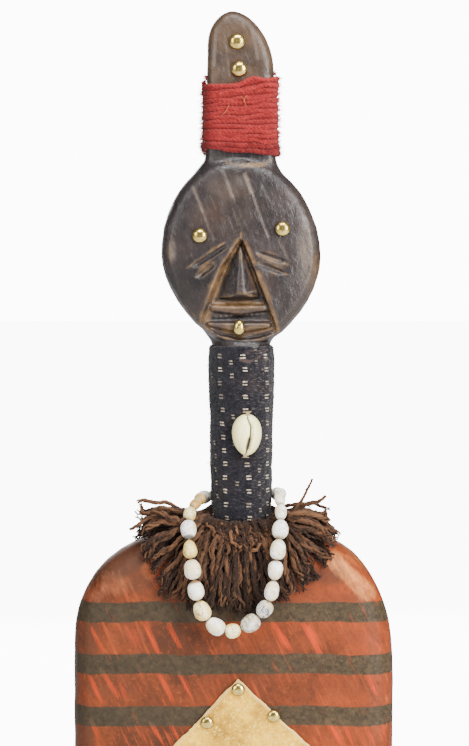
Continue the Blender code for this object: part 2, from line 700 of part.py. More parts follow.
def tacks():
    """Two tacks on the crest, two for the eyes, one for the mouth and those round the hide."""
    crest_face = FRONT * CREST_DEPTH / 2
    towards = (0, FRONT, 0)
    high_x, low_x = (CREST_SHIFT + shift for shift in CREST_TACK_SHIFTS)
    low_z = yarn_level(1, low_x) + CREST_TACK_CLEARANCE + TACK_RADIUS_LARGE
    high_z = low_z + (CREST_TOP_Z - low_z) * CREST_TACK_CLIMB
    tack("crest_tack_1", (high_x, crest_face, high_z), towards, TACK_RADIUS_LARGE)
    tack("crest_tack_2", (low_x, crest_face, low_z), towards, TACK_RADIUS_LARGE)
    surface_tack("eye_tack_left", *LEFT_EYE_TACK, TACK_RADIUS_MEDIUM)
    surface_tack("eye_tack_right", *RIGHT_EYE_TACK, TACK_RADIUS_MEDIUM)
    tack("mouth_tack", face(*MOUTH_TACK, LIP_LEVEL), towards, TACK_RADIUS_LARGE, MOUTH_TACK_SQUEEZE)
    corners = patch_corners()
    middle = sum(corners, Vector((0, 0))) / 4
    places = [corner + (middle - corner).normalized() * PATCH_CORNER_INSET for corner in corners]
    insets = iter(PATCH_TACK_INSETS)
    for here, after in zip(corners, corners[1:] + corners[:1]):
        along = after - here
        inward = Vector((along.y, -along.x)).normalized()
        for share in PATCH_TACK_SHARES:
            places.append(here + along * share + inward * next(insets))
    for number, spot in enumerate(places, 1):
        point = (spot.x, patch_front(), spot.y)
        tack(f"patch_tack_{number:02d}", point, towards, TACK_RADIUS_SMALL)


# The necklace's joints between seeds, with heights from the shoulders' top: from behind the neck, down the
# left and up the right
STRING_JOINTS = (
    (-0.0054, 0.0224, 0.0220), (-0.0147, 0.0151, 0.0216), (-0.0203, 0.0043, 0.0216),
    (-0.0203, -0.0078, 0.0216), (-0.0253, -0.0175, 0.0178), (-0.0270, -0.0262, 0.0112),
    (-0.0266, -0.0328, 0.0005), (-0.0254, -0.0348, -0.0108), (-0.0236, -0.0353, -0.0234),
    (-0.0212, -0.0350, -0.0358), (-0.0160, -0.0345, -0.0476), (-0.0053, -0.0340, -0.0545),
    (0.0047, -0.0340, -0.0531), (0.0151, -0.0345, -0.0458), (0.0214, -0.0350, -0.0361),
    (0.0241, -0.0353, -0.0236), (0.0257, -0.0348, -0.0116), (0.0274, -0.0328, 0.0010),
    (0.0285, -0.0262, 0.0115), (0.0283, -0.0175, 0.0193), (0.0278, -0.0078, 0.0250),
    (0.0290, 0.0038, 0.0242), (0.0245, 0.0147, 0.0232), (0.0152, 0.0222, 0.0224),
)
STRING_KNOT = (0.0048, 0.0252, 0.0218)
STRING_POINTS = 76
# Diameters of the seeds, in millimetres, in the order that they are strung
BEAD_DIAMETERS = (
    8.2, 8.6, 7.8, 6.6, 7.8, 9.8, 9.0, 10.4, 10.1, 10.5, 10.4, 9.2,
    10.9, 10.0, 8.9, 9.3, 9.7, 10.1, 7.4, 6.8, 7.6, 8.4, 8.2,
)
BEAD_SIDES = 7
BEAD_MOUTH = BEAD_BORE / 2 + 0.0004
BEAD_PROFILE = ((-0.72, 0.70), (-0.10, 1.0), (0.58, 0.82))
CURVE_STEPS = 24


def smooth_route(points, steps):
    """A smooth curve through the points, as closely spaced points."""
    route = [Vector(p) for p in points]
    route = [2 * route[0] - route[1], *route, 2 * route[-1] - route[-2]]
    curve = []
    for a, b, c, d in zip(route, route[1:], route[2:], route[3:]):
        for k in range(steps):
            t = k / steps
            curve.append(0.5 * (2 * b + (c - a) * t + (2 * a - 5 * b + 4 * c - d) * t ** 2
                                + (3 * b - a - 3 * c + d) * t ** 3))
    curve.append(route[-2])
    return curve


def along_route(curve, distance):
    """The point at a distance along a curve."""
    left = distance
    for a, b in zip(curve, curve[1:]):
        step = (b - a).length
        if left <= step:
            return a.lerp(b, left / step)
        left -= step
    return curve[-1]


def bead(name, centre, direction, length, diameter):
    """A bored seed, rounder at one end, threaded on the string."""
    rings = []
    for along, share in ((-1.0, 0.0), *BEAD_PROFILE, (1.0, 0.0)):
        radius = max(BEAD_MOUTH, diameter / 2 * share)
        rings.append([(x, y, along * length / 2) for x, y, z in circle(radius, radius, 0, BEAD_SIDES, 0)])
    for along in (1.0, -1.0):
        bore = circle(BEAD_BORE / 2, BEAD_BORE / 2, 0, BEAD_SIDES, 0)
        rings.append([(x, y, along * length / 2) for x, y, z in bore])
    made = loft(name, rings, "white_seed", closed=True)
    made.rotation_mode = "QUATERNION"
    made.rotation_quaternion = direction.to_track_quat("Z", "Y")
    made.location = centre
    return made


def necklace():
    """The string and its seeds, each touching the next."""
    route = [(x, y, SHOULDER_Z + z) for x, y, z in (STRING_KNOT, *STRING_JOINTS, STRING_KNOT)]
    curve = smooth_route(route, CURVE_STEPS)
    total = sum((b - a).length for a, b in zip(curve, curve[1:]))
    data = bpy.data.curves.new("necklace_string", "CURVE")
    data.dimensions = "3D"
    spline = data.splines.new("POLY")
    spline.points.add(STRING_POINTS - 1)
    knot_room = STRING_DIAMETER
    for k, point in enumerate(spline.points):
        distance = knot_room + (total - 2 * knot_room) * k / (STRING_POINTS - 1)
        point.co = (*along_route(curve, distance), 1)
    data.bevel_depth = STRING_DIAMETER / 2
    data.bevel_resolution = 2
    data.use_fill_caps = True
    data.materials.append(material("thread"))
    bpy.context.scene.collection.objects.link(bpy.data.objects.new("necklace_string", data))
    joints = curve[CURVE_STEPS:-1:CURVE_STEPS]
    middles = curve[CURVE_STEPS + CURVE_STEPS // 2::CURVE_STEPS]
    chords = [end - start for start, end in zip(joints, joints[1:])]
    bends = [0.0] + [math.tan(a.angle(b) / 2) for a, b in zip(chords, chords[1:])] + [0.0]
    for i, diameter in enumerate(BEAD_DIAMETERS):
        room = BEAD_MOUTH * (bends[i] + bends[i + 1])
        centre = (joints[i] + 2 * middles[i] + joints[i + 1]) / 4
        length = chords[i].length - GAP - room
        bead(f"necklace_bead_{i + 1:02d}", centre, chords[i].normalized(), length, diameter / 1000)


def main():
    for old in list(bpy.data.objects):
        bpy.data.objects.remove(old)
    carved_figure()
    crest_yarn()
    neck_cloth()
    cowrie()
    fringe()
    hide_patch()
    tacks()
    necklace()


main()
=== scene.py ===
import math
import random

import bmesh
import bpy
import numpy as np
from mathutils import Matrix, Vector, noise
from mathutils.bvhtree import BVHTree
from mathutils.kdtree import KDTree


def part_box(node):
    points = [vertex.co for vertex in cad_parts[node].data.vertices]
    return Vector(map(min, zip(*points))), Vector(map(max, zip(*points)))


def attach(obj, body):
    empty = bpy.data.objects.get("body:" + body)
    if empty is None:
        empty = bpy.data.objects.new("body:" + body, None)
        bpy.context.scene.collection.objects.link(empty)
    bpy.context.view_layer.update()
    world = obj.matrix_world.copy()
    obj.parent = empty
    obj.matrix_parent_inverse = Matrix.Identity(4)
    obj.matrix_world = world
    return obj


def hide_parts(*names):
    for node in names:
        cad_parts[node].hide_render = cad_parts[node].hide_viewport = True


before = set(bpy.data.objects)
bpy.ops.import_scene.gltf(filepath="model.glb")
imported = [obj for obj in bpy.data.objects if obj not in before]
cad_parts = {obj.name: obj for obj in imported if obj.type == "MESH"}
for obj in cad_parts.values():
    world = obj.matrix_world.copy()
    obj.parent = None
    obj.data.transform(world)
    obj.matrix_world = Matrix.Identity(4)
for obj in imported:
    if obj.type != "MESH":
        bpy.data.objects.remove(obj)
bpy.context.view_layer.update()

BOARD_FACE = 0.020
SHOULDER_Z = 0.334
NECK_SHIFT = 0.0046
NECK_RADIUS_LOW = 0.0158
NECK_RADIUS_HIGH = 0.0174
NECK_LENGTH = 0.1135
JAW_Z = 0.4475
HEAD_Z = 0.5033
CROWN_Z = 0.5631
CREST_TOP_Z = 0.6507
CREST_SHIFT = 0.0042
CREST_HALF = 0.0195
CREST_FLARE = 0.0014
CREST_DEPTH = 0.024
CREST_CORNER = 0.005
CLOTH_TOP_Z = 0.4493
CLOTH_HEM_Z = 0.3438
GAP = 0.0003
CUT_Z = 0.390

# The camera sees the doll's front at this many metres to a pixel of a frame 469 by 746
PIXEL = 0.0006
MIDDLE_COLUMN = 234.5
MIDDLE_ROW = 373
AIM = Vector((0.0006, -0.02, 0.433479525))
EYE = Vector((0.0006, -1.62, 0.526479525))


def spot(column, row):
    """The x and z, at the doll's front, of a place in the frame."""
    return AIM.x + (column - MIDDLE_COLUMN) * PIXEL, AIM.z - (row - MIDDLE_ROW) * PIXEL


def placed(column, row, y):
    """A place in the frame, at a depth."""
    x, z = spot(column, row)
    return np.array((x, y, z))


# Nodes

def add(tree, kind, settings, inputs):
    """A shader node with its settings, and its inputs as numbers, colours or other nodes' outputs."""
    made = tree.nodes.new("ShaderNode" + kind)
    for name, value in settings.items():
        setattr(made, name, value)
    for name, value in inputs.items():
        if isinstance(value, bpy.types.NodeSocket):
            tree.links.new(value, made.inputs[name])
        else:
            made.inputs[name].default_value = value
    return made


def maths(tree, operation, first, second=0.0, clamp=False):
    """One sum on two values."""
    return add(tree, "Math", {"operation": operation, "use_clamp": clamp}, {0: first, 1: second}).outputs[0]


def plus(tree, first, second, clamp=False):
    """Two values added."""
    return maths(tree, "ADD", first, second, clamp)


def minus(tree, first, second):
    """One value less another."""
    return maths(tree, "SUBTRACT", first, second)


def times(tree, first, second, clamp=False):
    """Two values multiplied."""
    return maths(tree, "MULTIPLY", first, second, clamp)


def swing(tree, value, reach):
    """A level from 0 to 1 made to swing evenly to both sides of nothing."""
    return times(tree, minus(tree, value, 0.5), reach)


def off_middle(tree, value):
    """How far a value is from the middle between two whole numbers."""
    return maths(tree, "ABSOLUTE", minus(tree, maths(tree, "FRACT", value), 0.5))


def mix(tree, share, low, high):
    """Two colours mixed by a share."""
    colours = [value if isinstance(value, bpy.types.NodeSocket) else (*value, 1.0) for value in (low, high)]
    settings = {"data_type": "RGBA", "clamp_factor": True}
    return add(tree, "Mix", settings, {0: share, 6: colours[0], 7: colours[1]}).outputs[2]


def place(tree):
    """Object coordinates, which are metres in the row frame."""
    return add(tree, "TexCoord", {}, {}).outputs["Object"]


def mapped(tree, where, scale=(1, 1, 1), turn=(0, 0, 0)):
    """Coordinates turned and then scaled."""
    turned = add(tree, "Mapping", {"vector_type": "POINT"}, {"Vector": where, "Rotation": turn}).outputs[0]
    return add(tree, "Mapping", {"vector_type": "POINT"}, {"Vector": turned, "Scale": scale}).outputs[0]


def grain(tree, where, scale, detail=4.0, rough=0.55, distortion=0.0):
    """Noise from 0 to 1."""
    inputs = {"Vector": where, "Scale": scale, "Detail": detail, "Roughness": rough, "Distortion": distortion}
    return add(tree, "TexNoise", {}, inputs).outputs[0]


def ramp(tree, value, *stops):
    """A value turned into a level by straight steps between (place, level) stops."""
    made = add(tree, "ValToRGB", {}, {"Fac": value})
    bar = made.color_ramp
    while len(bar.elements) < len(stops):
        bar.elements.new(1.0)
    for element, (where, level) in zip(bar.elements, stops):
        element.position = where
        element.color = (level, level, level, 1.0)
    return made.outputs[0]


def layered(tree, colour, *layers):
    """A colour with tints laid over it, each where a pattern runs between two (place, level) stops."""
    for pattern, low, high, tint in layers:
        colour = mix(tree, ramp(tree, pattern, low, high), colour, tint)
    return colour


def attribute(tree, name):
    """A mesh attribute's value."""
    return add(tree, "Attribute", {"attribute_name": name}, {}).outputs["Fac"]


def axis(tree, where, name):
    """One coordinate of a vector."""
    return add(tree, "SeparateXYZ", {}, {0: where}).outputs[name]


def new_material(name, sockets):
    """A Principled material, its tree and its shader, with what is the same all over set on the shader."""
    made = bpy.data.materials.new(name)
    made.use_nodes = True
    shader = made.node_tree.nodes["Principled BSDF"]
    for socket, value in sockets.items():
        shader.inputs[socket].default_value = value
    return made, made.node_tree, shader


def feed(tree, shader, sockets):
    """Links outputs to the shader's sockets."""
    for name, output in sockets.items():
        tree.links.new(output, shader.inputs[name])


def bump(tree, height, distance, strength=1.0, under=None):
    """A bump from a height, over another one if given."""
    inputs = {"Height": height, "Distance": distance, "Strength": strength}
    if under is not None:
        inputs["Normal"] = under
    return add(tree, "Bump", {}, inputs).outputs[0]


def carved_wood():
    """Dark oiled wood, light brown where it is worn, and browner in the crest, with painted shade in its
    hollows and painted highlights on a nostril and the teeth.
    """
    made, tree, shader = new_material("carved_wood", {"Specular IOR Level": 0.33, "Coat Weight": 0.03,
                                                      "Coat Roughness": 0.22})
    where = place(tree)
    patches = ramp(tree, grain(tree, where, 34, 5, 0.62), (0.36, 0.0), (0.64, 1.0))
    colour = mix(tree, patches, (0.0054, 0.0045, 0.0053), (0.0228, 0.0156, 0.0145))
    warm = ramp(tree, grain(tree, mapped(tree, where, turn=(0, 0, 0.7)), 23, 3), (0.50, 0.0), (0.72, 1.0))
    colour = mix(tree, times(tree, warm, 0.42), colour, (0.052, 0.027, 0.015))
    crest = ramp(tree, axis(tree, where, "Z"), (0.592, 0.0), (0.606, 1.0))
    crest = times(tree, crest, ramp(tree, grain(tree, where, 75, 4), (0.32, 0.25), (0.62, 0.95)))
    colour = mix(tree, crest, colour, (0.066, 0.038, 0.021))
    streaks = grain(tree, mapped(tree, where, (1500, 1500, 130), (0, 0.30, 0)), 1.0, 3, 0.6)
    pores = grain(tree, mapped(tree, where, (2600, 2600, 420)), 1.0, 2)
    colour = layered(tree, colour, (streaks, (0.58, 0.0), (0.72, 0.50), (0.078, 0.058, 0.048)),
                     (pores, (0.28, 0.6), (0.42, 0.0), (0.0060, 0.0045, 0.0042)))
    # Pale rubbed marks, with painted highlights on a nostril and the teeth
    pale = times(tree, attribute(tree, "pale"),
                 ramp(tree, grain(tree, mapped(tree, where, (170, 170, 75), (0, 0.30, 0)), 1.0, 5, 0.6),
                      (0.36, 0.30), (0.60, 1.0)))
    colour = mix(tree, pale, colour, (0.125, 0.092, 0.070))
    wear = attribute(tree, "wear")
    broken = ramp(tree, grain(tree, where, 420, 4, 0.65), (0.25, 0.45), (0.60, 1.0))
    worn = mix(tree, ramp(tree, grain(tree, where, 160, 3), (0.35, 0.0), (0.65, 1.0)),
               (0.078, 0.040, 0.014), (0.165, 0.092, 0.036))
    colour = mix(tree, times(tree, wear, broken, True), colour, worn)
    # Painted shade in hollows, under the nose and chin and on the nose's left face, with darker patches of
    # the wood
    colour = mix(tree, attribute(tree, "dark"), colour, (0.0045, 0.0035, 0.0035))
    roughness = ramp(tree, grain(tree, where, 120, 4), (0.30, 0.27), (0.70, 0.46))
    low = bump(tree, grain(tree, where, 170, 4, 0.6), 0.0012, 0.60)
    high = bump(tree, streaks, 0.0003, 0.5, low)
    feed(tree, shader, {"Base Color": colour, "Roughness": roughness, "Normal": high})
    return made


STRIPE_TOP_Z = 0.2891
STRIPE_PITCH = 0.0317
STRIPE_HALF = 0.0060
PAINT_SLANT = 0.44


def stripe_level(tree, where, brushed):
    """1 in the dark stripes and 0 between them, with wobbly and ragged edges."""
    wobble = swing(tree, grain(tree, mapped(tree, where, (1, 1, 0.3)), 24, 3), 0.0052)
    ragged = swing(tree, grain(tree, where, 420, 4), 0.0016)
    level = plus(tree, plus(tree, axis(tree, where, "Z"), wobble), ragged)
    top = STRIPE_TOP_Z + STRIPE_PITCH / 2
    below = maths(tree, "DIVIDE", minus(tree, top, level), STRIPE_PITCH)
    edge = STRIPE_HALF / STRIPE_PITCH
    stripe = ramp(tree, off_middle(tree, below), (edge - 0.010, 1.0), (edge + 0.012, 0.0))
    stripe = times(tree, stripe, maths(tree, "LESS_THAN", level, top))
    return times(tree, stripe, ramp(tree, brushed, (0.60, 1.0), (0.74, 0.62)))


def painted_wood():
    """Ochre paint with dark stripes, bright strokes and brown smudges, rubbed pale at the shoulders, with
    painted light that makes it lighter towards the right, painted shade at its left rim and under the fringe,
    and a painted highlight down its right edge.
    """
    made, tree, shader = new_material("painted_wood", {"Specular IOR Level": 0.18})
    where = place(tree)
    # Painted light: the paint is lighter towards the right, where the key light falls, and so are its bright
    # strokes, its pale patches and the flecks on its stripes
    lit = ramp(tree, plus(tree, axis(tree, where, "X"), 0.5), (0.41, 0.0), (0.57, 1.0))
    worn = grain(tree, mapped(tree, where, (1, 1, 0.7), (0, 0.40, 0)), 30, 6, 0.64, 0.5)
    base = ramp(tree, plus(tree, worn, times(tree, lit, 0.14)), (0.42, 0.0), (0.70, 1.0))
    bright = mix(tree, lit, (0.142, 0.0275, 0.0058), (0.200, 0.0335, 0.0065))
    colour = mix(tree, base, (0.048, 0.0145, 0.0052), bright)
    speck = grain(tree, where, 430, 5, 0.72)
    brushed = grain(tree, mapped(tree, where, (420, 420, 42), (0, PAINT_SLANT, 0)), 1.0, 4, 0.6)
    uneven = plus(tree, swing(tree, worn, 0.9), swing(tree, brushed, 0.8))
    # Brown smudges, which also carry painted shade at the board's left rim and under the fringe's ends
    smudge = plus(tree, attribute(tree, "smudge"), uneven)
    colour = layered(
        tree, colour,
        (speck, (0.54, 0.0), (0.72, 0.65), (0.034, 0.013, 0.006)),
        (speck, (0.30, 0.45), (0.44, 0.0), (0.250, 0.060, 0.015)),
        (brushed, (0.56, 0.0), (0.70, 0.60), (0.330, 0.044, 0.0075)),
        (brushed, (0.30, 0.50), (0.44, 0.0), (0.046, 0.0155, 0.0065)),
        (smudge, (0.25, 0.0), (0.85, 0.85), (0.050, 0.020, 0.010)),
    )
    bristles = grain(tree, mapped(tree, where, (1100, 1100, 60), (0, PAINT_SLANT, 0)), 1.0, 3, 0.6)
    stroke = plus(tree, attribute(tree, "stroke"), swing(tree, bristles, 0.9))
    stroke = ramp(tree, stroke, (0.40, 0.0), (0.85, 0.95))
    colour = mix(tree, stroke, colour, mix(tree, lit, (0.320, 0.030, 0.0030), (0.430, 0.034, 0.0020)))
    cracks = grain(tree, mapped(tree, where, (1, 1, 0.55), (0, 0.6, 0)), 210, 6, 0.74, 0.4)
    cracks = ramp(tree, cracks, (0.42, 0.0), (0.70, 1.0))
    # Pale rubbed paint, with a painted highlight down the board's right edge
    pale = plus(tree, attribute(tree, "pale"), swing(tree, brushed, 0.9))
    pale = ramp(tree, pale, (0.30, 0.0), (0.95, 1.0))
    pale = times(tree, pale, plus(tree, times(tree, cracks, 0.70), 0.30), True)
    colour = mix(tree, pale, colour, mix(tree, lit, (0.245, 0.072, 0.033), (0.640, 0.245, 0.062)))
    dark = mix(tree, ramp(tree, grain(tree, where, 260, 6, 0.72), (0.36, 0.0), (0.66, 1.0)),
               (0.0215, 0.0145, 0.0078), (0.0450, 0.0300, 0.0148))
    flecks = times(tree, lit, ramp(tree, speck, (0.46, 0.0), (0.66, 0.6)))
    dark = mix(tree, flecks, dark, (0.085, 0.052, 0.024))
    # Painted shade: the stripes are darker towards the left
    dark = mix(tree, times(tree, minus(tree, 1.0, lit), 0.2), dark, (0.0110, 0.0078, 0.0048))
    dark = mix(tree, times(tree, stroke, 0.35), dark, (0.150, 0.085, 0.040))
    colour = mix(tree, stripe_level(tree, where, brushed), colour, dark)
    # Painted shade under the fringe
    colour = mix(tree, attribute(tree, "dark"), colour, (0.0070, 0.0040, 0.0028))
    roughness = ramp(tree, grain(tree, where, 70, 4), (0.30, 0.48), (0.70, 0.66))
    low = bump(tree, grain(tree, where, 120, 5, 0.6), 0.0010, 0.45)
    high = bump(tree, brushed, 0.0004, 0.5, low)
    feed(tree, shader, {"Base Color": colour, "Roughness": roughness, "Normal": high})
    return made


# How the strands look: dark, light and speck colours, sheen, roughness, and painted shade on the left
STRANDS = {
    "red_yarn": ((0.090, 0.0060, 0.0066), (0.270, 0.0175, 0.0165), (0.40, 0.060, 0.040), 0.08, 0.92, 0.70),
    "yarn_lint": ((0.20, 0.045, 0.020), (0.42, 0.150, 0.060), (0.50, 0.25, 0.12), 0.05, 0.9, 0.0),
    "indigo_lint": ((0.006, 0.006, 0.010), (0.030, 0.027, 0.036), (0.06, 0.055, 0.06), 0.05, 0.9, 0.0),
    "brown_fibre": ((0.0180, 0.0082, 0.0047), (0.134, 0.060, 0.0270), (0.20, 0.110, 0.053), 0.05, 0.85, 0.0),
}
LEFT_SHADE_FACTOR = 0.45


def strand_material(name):
    """Twisted fibre whose strands differ in tone, and which can be painted darker on the left as shade."""
    dark, light, speck, sheen, roughness, left_shade = STRANDS[name]
    made, tree, shader = new_material(name, {"Specular IOR Level": 0.14, "Sheen Weight": sheen,
                                             "Sheen Roughness": 0.5, "Roughness": roughness})
    where = place(tree)
    tone = plus(tree, attribute(tree, "tone"), swing(tree, grain(tree, where, 500, 4), 0.9), True)
    colour = mix(tree, tone, dark, light)
    colour = layered(tree, colour, (grain(tree, where, 1500, 3), (0.62, 0.0), (0.72, 0.6), speck))
    # Painted shade: the crest's left side, away from the key light, is darker
    if left_shade:
        across = plus(tree, axis(tree, where, "X"), 0.5)
        left_shade_colour = tuple(LEFT_SHADE_FACTOR * part for part in dark)
        colour = layered(tree, colour, (across, (0.4820, left_shade), (0.4900, 0.0), left_shade_colour))
    feed(tree, shader, {"Base Color": colour, "Normal": bump(tree, grain(tree, where, 2600, 3), 0.0002, 0.6)})
    return made


CLOTH_COLUMNS = 8
CLOTH_COLUMN_PHASE = 0.108
CLOTH_COLUMN_DRIFT = 2.95
CLOTH_ROW_PITCH = 0.00815
CLOTH_ROW_PHASE = 0.089
# The strong and the faint weft floats: column and row phase, half width, and the share that is kept
CLOTH_FLOATS = (
    (CLOTH_COLUMN_PHASE, CLOTH_ROW_PHASE, 0.095, ((0.0, 0.35), (0.35, 1.0))),
    (CLOTH_COLUMN_PHASE + 0.5, CLOTH_ROW_PHASE + 0.45, 0.065, ((0.40, 0.0), (0.80, 0.55))),
)
CLOTH_THREAD_PITCH = 0.00075
# The cloth's measure once round, at which its threads are counted
CLOTH_ROUND = 0.115


def weft_floats(tree, slanted, rows, half_width, keep):
    """Pairs of cream weft threads that show in columns, some of them worn away."""
    here = ramp(tree, off_middle(tree, slanted), (half_width - 0.012, 1.0), (half_width + 0.012, 0.0))
    beside = maths(tree, "ABSOLUTE", minus(tree, off_middle(tree, rows), 0.105))
    thread = ramp(tree, beside, (0.036, 1.0), (0.062, 0.0))
    cell = add(tree, "CombineXYZ", {}, {0: maths(tree, "FLOOR", slanted), 1: maths(tree, "FLOOR", rows)})
    chance = add(tree, "TexWhiteNoise", {"noise_dimensions": "2D"}, {"Vector": cell.outputs[0]})
    return times(tree, times(tree, here, thread), ramp(tree, chance.outputs["Value"], *keep))


def indigo_cloth():
    """Blackish indigo cloth with pairs of cream weft floats in columns, its slubs painted lighter towards the
    right as lit.
    """
    made, tree, shader = new_material("indigo_cloth", {"Specular IOR Level": 0.15, "Sheen Weight": 0.10,
                                                       "Sheen Roughness": 0.4, "Roughness": 0.92})
    flat = add(tree, "UVMap", {"uv_map": "weave"}, {}).outputs[0]
    across = axis(tree, flat, "X")
    along = axis(tree, flat, "Y")
    where = place(tree)
    shake = minus(tree, grain(tree, where, 130, 2), 0.5)
    slanted = plus(tree, times(tree, across, CLOTH_COLUMNS), times(tree, along, CLOTH_COLUMN_DRIFT))
    slanted = plus(tree, slanted, times(tree, shake, 0.20))
    rows = plus(tree, maths(tree, "DIVIDE", along, CLOTH_ROW_PITCH), times(tree, shake, 0.15))
    strong, faint = (
        weft_floats(tree, plus(tree, slanted, column_phase), plus(tree, rows, row_phase), half_width, keep)
        for column_phase, row_phase, half_width, keep in CLOTH_FLOATS
    )
    cream = maths(tree, "MAXIMUM", strong, faint)
    threads = 2 * math.pi / CLOTH_THREAD_PITCH
    warp = maths(tree, "SINE", times(tree, across, CLOTH_ROUND * threads))
    weft = maths(tree, "SINE", times(tree, along, threads))
    colour = mix(tree, ramp(tree, grain(tree, where, 260, 5, 0.7), (0.36, 0.0), (0.68, 1.0)),
                 (0.0030, 0.0029, 0.0048), (0.0135, 0.0120, 0.0165))
    lint = grain(tree, mapped(tree, where, (1800, 1800, 900)), 1.0, 2)
    slubs = grain(tree, mapped(tree, where, (420, 420, 1500)), 1.0, 3, 0.6)
    # Painted light: the slubs are lighter towards the right, where the key light falls
    right = ramp(tree, axis(tree, where, "X"), (0.0060, 0.0), (0.0190, 1.0))
    rubbed = plus(tree, attribute(tree, "brown"), swing(tree, slubs, 0.8))
    colour = layered(
        tree, colour,
        (grain(tree, where, 60, 3), (0.52, 0.0), (0.70, 0.45), (0.030, 0.019, 0.018)),
        (lint, (0.66, 0.0), (0.74, 0.35), (0.13, 0.125, 0.15)),
        (slubs, (0.56, 0.0), (0.68, 0.80), mix(tree, right, (0.042, 0.039, 0.046), (0.135, 0.112, 0.098))),
        (slubs, (0.28, 0.8), (0.42, 0.0), (0.0030, 0.0028, 0.0045)),
        (rubbed, (0.35, 0.0), (0.80, 0.85), (0.066, 0.042, 0.036)),
    )
    thread_colour = mix(tree, ramp(tree, grain(tree, where, 900, 3), (0.35, 0.0), (0.65, 1.0)),
                        (0.20, 0.140, 0.095), (0.72, 0.62, 0.47))
    colour = mix(tree, cream, colour, thread_colour)
    relief = plus(tree, times(tree, times(tree, warp, weft), 0.35), times(tree, cream, 1.3))
    relief = plus(tree, relief, times(tree, slubs, 2.2))
    feed(tree, shader, {"Base Color": colour, "Normal": bump(tree, relief, 0.00040, 1.0)})
    return made


def hide_leather():
    """Pale untanned hide, mottled, with flecks of hair and grit."""
    made, tree, shader = new_material("pale_hide", {"Specular IOR Level": 0.20})
    where = place(tree)
    colour = mix(tree, ramp(tree, grain(tree, where, 55, 6, 0.68), (0.34, 0.0), (0.66, 1.0)),
                 (0.310, 0.150, 0.007), (0.780, 0.430, 0.024))
    speck = grain(tree, where, 620, 5, 0.75)
    dust = grain(tree, mapped(tree, where, (1, 1, 0.5), (0, 0.5, 0)), 880, 4, 0.7)
    colour = layered(tree, colour, (speck, (0.54, 0.0), (0.66, 0.80), (0.930, 0.720, 0.150)),
                     (dust, (0.32, 0.70), (0.45, 0.0), (0.200, 0.105, 0.022)))
    colour = mix(tree, times(tree, attribute(tree, "wear"), 0.8), colour, (0.66, 0.46, 0.17))
    low = bump(tree, grain(tree, where, 240, 5, 0.65), 0.0008, 0.6)
    feed(tree, shader, {"Base Color": colour, "Roughness": ramp(tree, speck, (0.3, 0.62), (0.7, 0.85)),
                        "Normal": bump(tree, speck, 0.0003, 0.6, low)})
    return made


def brass():
    """Polished brass with a little tarnish."""
    made, tree, shader = new_material("brass", {"Metallic": 1.0})
    where = place(tree)
    stain = ramp(tree, grain(tree, where, 420, 5, 0.65), (0.42, 0.0), (0.70, 1.0))
    colour = mix(tree, stain, (0.62, 0.46, 0.135), (0.27, 0.19, 0.055))
    roughness = plus(tree, times(tree, stain, 0.18), 0.17)
    feed(tree, shader, {"Base Color": colour, "Roughness": roughness,
                        "Normal": bump(tree, grain(tree, where, 300, 3), 0.0004, 0.35)})
    return made


def shell():
    """A cowrie's enamel, with stained teeth, and its slit painted near black as shade in its opening."""
    made, tree, shader = new_material("cowrie_shell", {"Specular IOR Level": 0.6, "Coat Weight": 0.4,
                                                       "Coat Roughness": 0.12, "Roughness": 0.30})
    where = place(tree)
    colour = mix(tree, ramp(tree, grain(tree, where, 150, 4), (0.40, 0.0), (0.75, 1.0)),
                 (0.970, 0.890, 0.430), (0.930, 0.770, 0.270))
    colour = mix(tree, attribute(tree, "stain"), colour, (0.110, 0.050, 0.018))
    # Painted shade in the slit's opening
    colour = mix(tree, attribute(tree, "slit"), colour, (0.014, 0.008, 0.005))
    feed(tree, shader, {"Base Color": colour, "Normal": bump(tree, grain(tree, where, 260, 4), 0.0003, 0.3)})
    return made


def seed(name, body, stain, stain_from, tip):
    """A dried seed: its body's colour, stains where noise passes a level, and a coloured tip."""
    made, tree, shader = new_material(name, {"Specular IOR Level": 0.5, "Coat Weight": 0.15,
                                             "Coat Roughness": 0.25})
    where = place(tree)
    veins = grain(tree, where, 260, 6, 0.68, 1.2)
    aged = tuple(level * share for level, share in zip(body, (0.78, 0.62, 0.30)))
    cracks = maths(tree, "ABSOLUTE", minus(tree, grain(tree, where, 150, 4, 0.6, 0.5), 0.5))
    colour = layered(
        tree, body,
        (veins, (stain_from, 0.0), (stain_from + 0.12, 0.9), stain),
        (grain(tree, where, 105, 4, 0.6), (0.44, 0.0), (0.60, 0.8), aged),
        (cracks, (0.004, 0.75), (0.016, 0.0), stain),
    )
    colour = mix(tree, attribute(tree, "end"), colour, (0.160, 0.098, 0.042))
    colour = mix(tree, attribute(tree, "tip"), colour, tip)
    feed(tree, shader, {"Base Color": colour, "Roughness": ramp(tree, veins, (0.3, 0.30), (0.7, 0.48)),
                        "Normal": bump(tree, grain(tree, where, 420, 4), 0.0004, 0.35)})
    return made


def thread_material():
    """Grimy cotton thread."""
    made, tree, shader = new_material("thread", {"Roughness": 0.9, "Specular IOR Level": 0.2})
    where = place(tree)
    colour = mix(tree, grain(tree, where, 900, 4), (0.16, 0.10, 0.055), (0.42, 0.32, 0.20))
    feed(tree, shader, {"Base Color": colour, "Normal": bump(tree, grain(tree, where, 2500, 3), 0.0002, 0.6)})
    return made


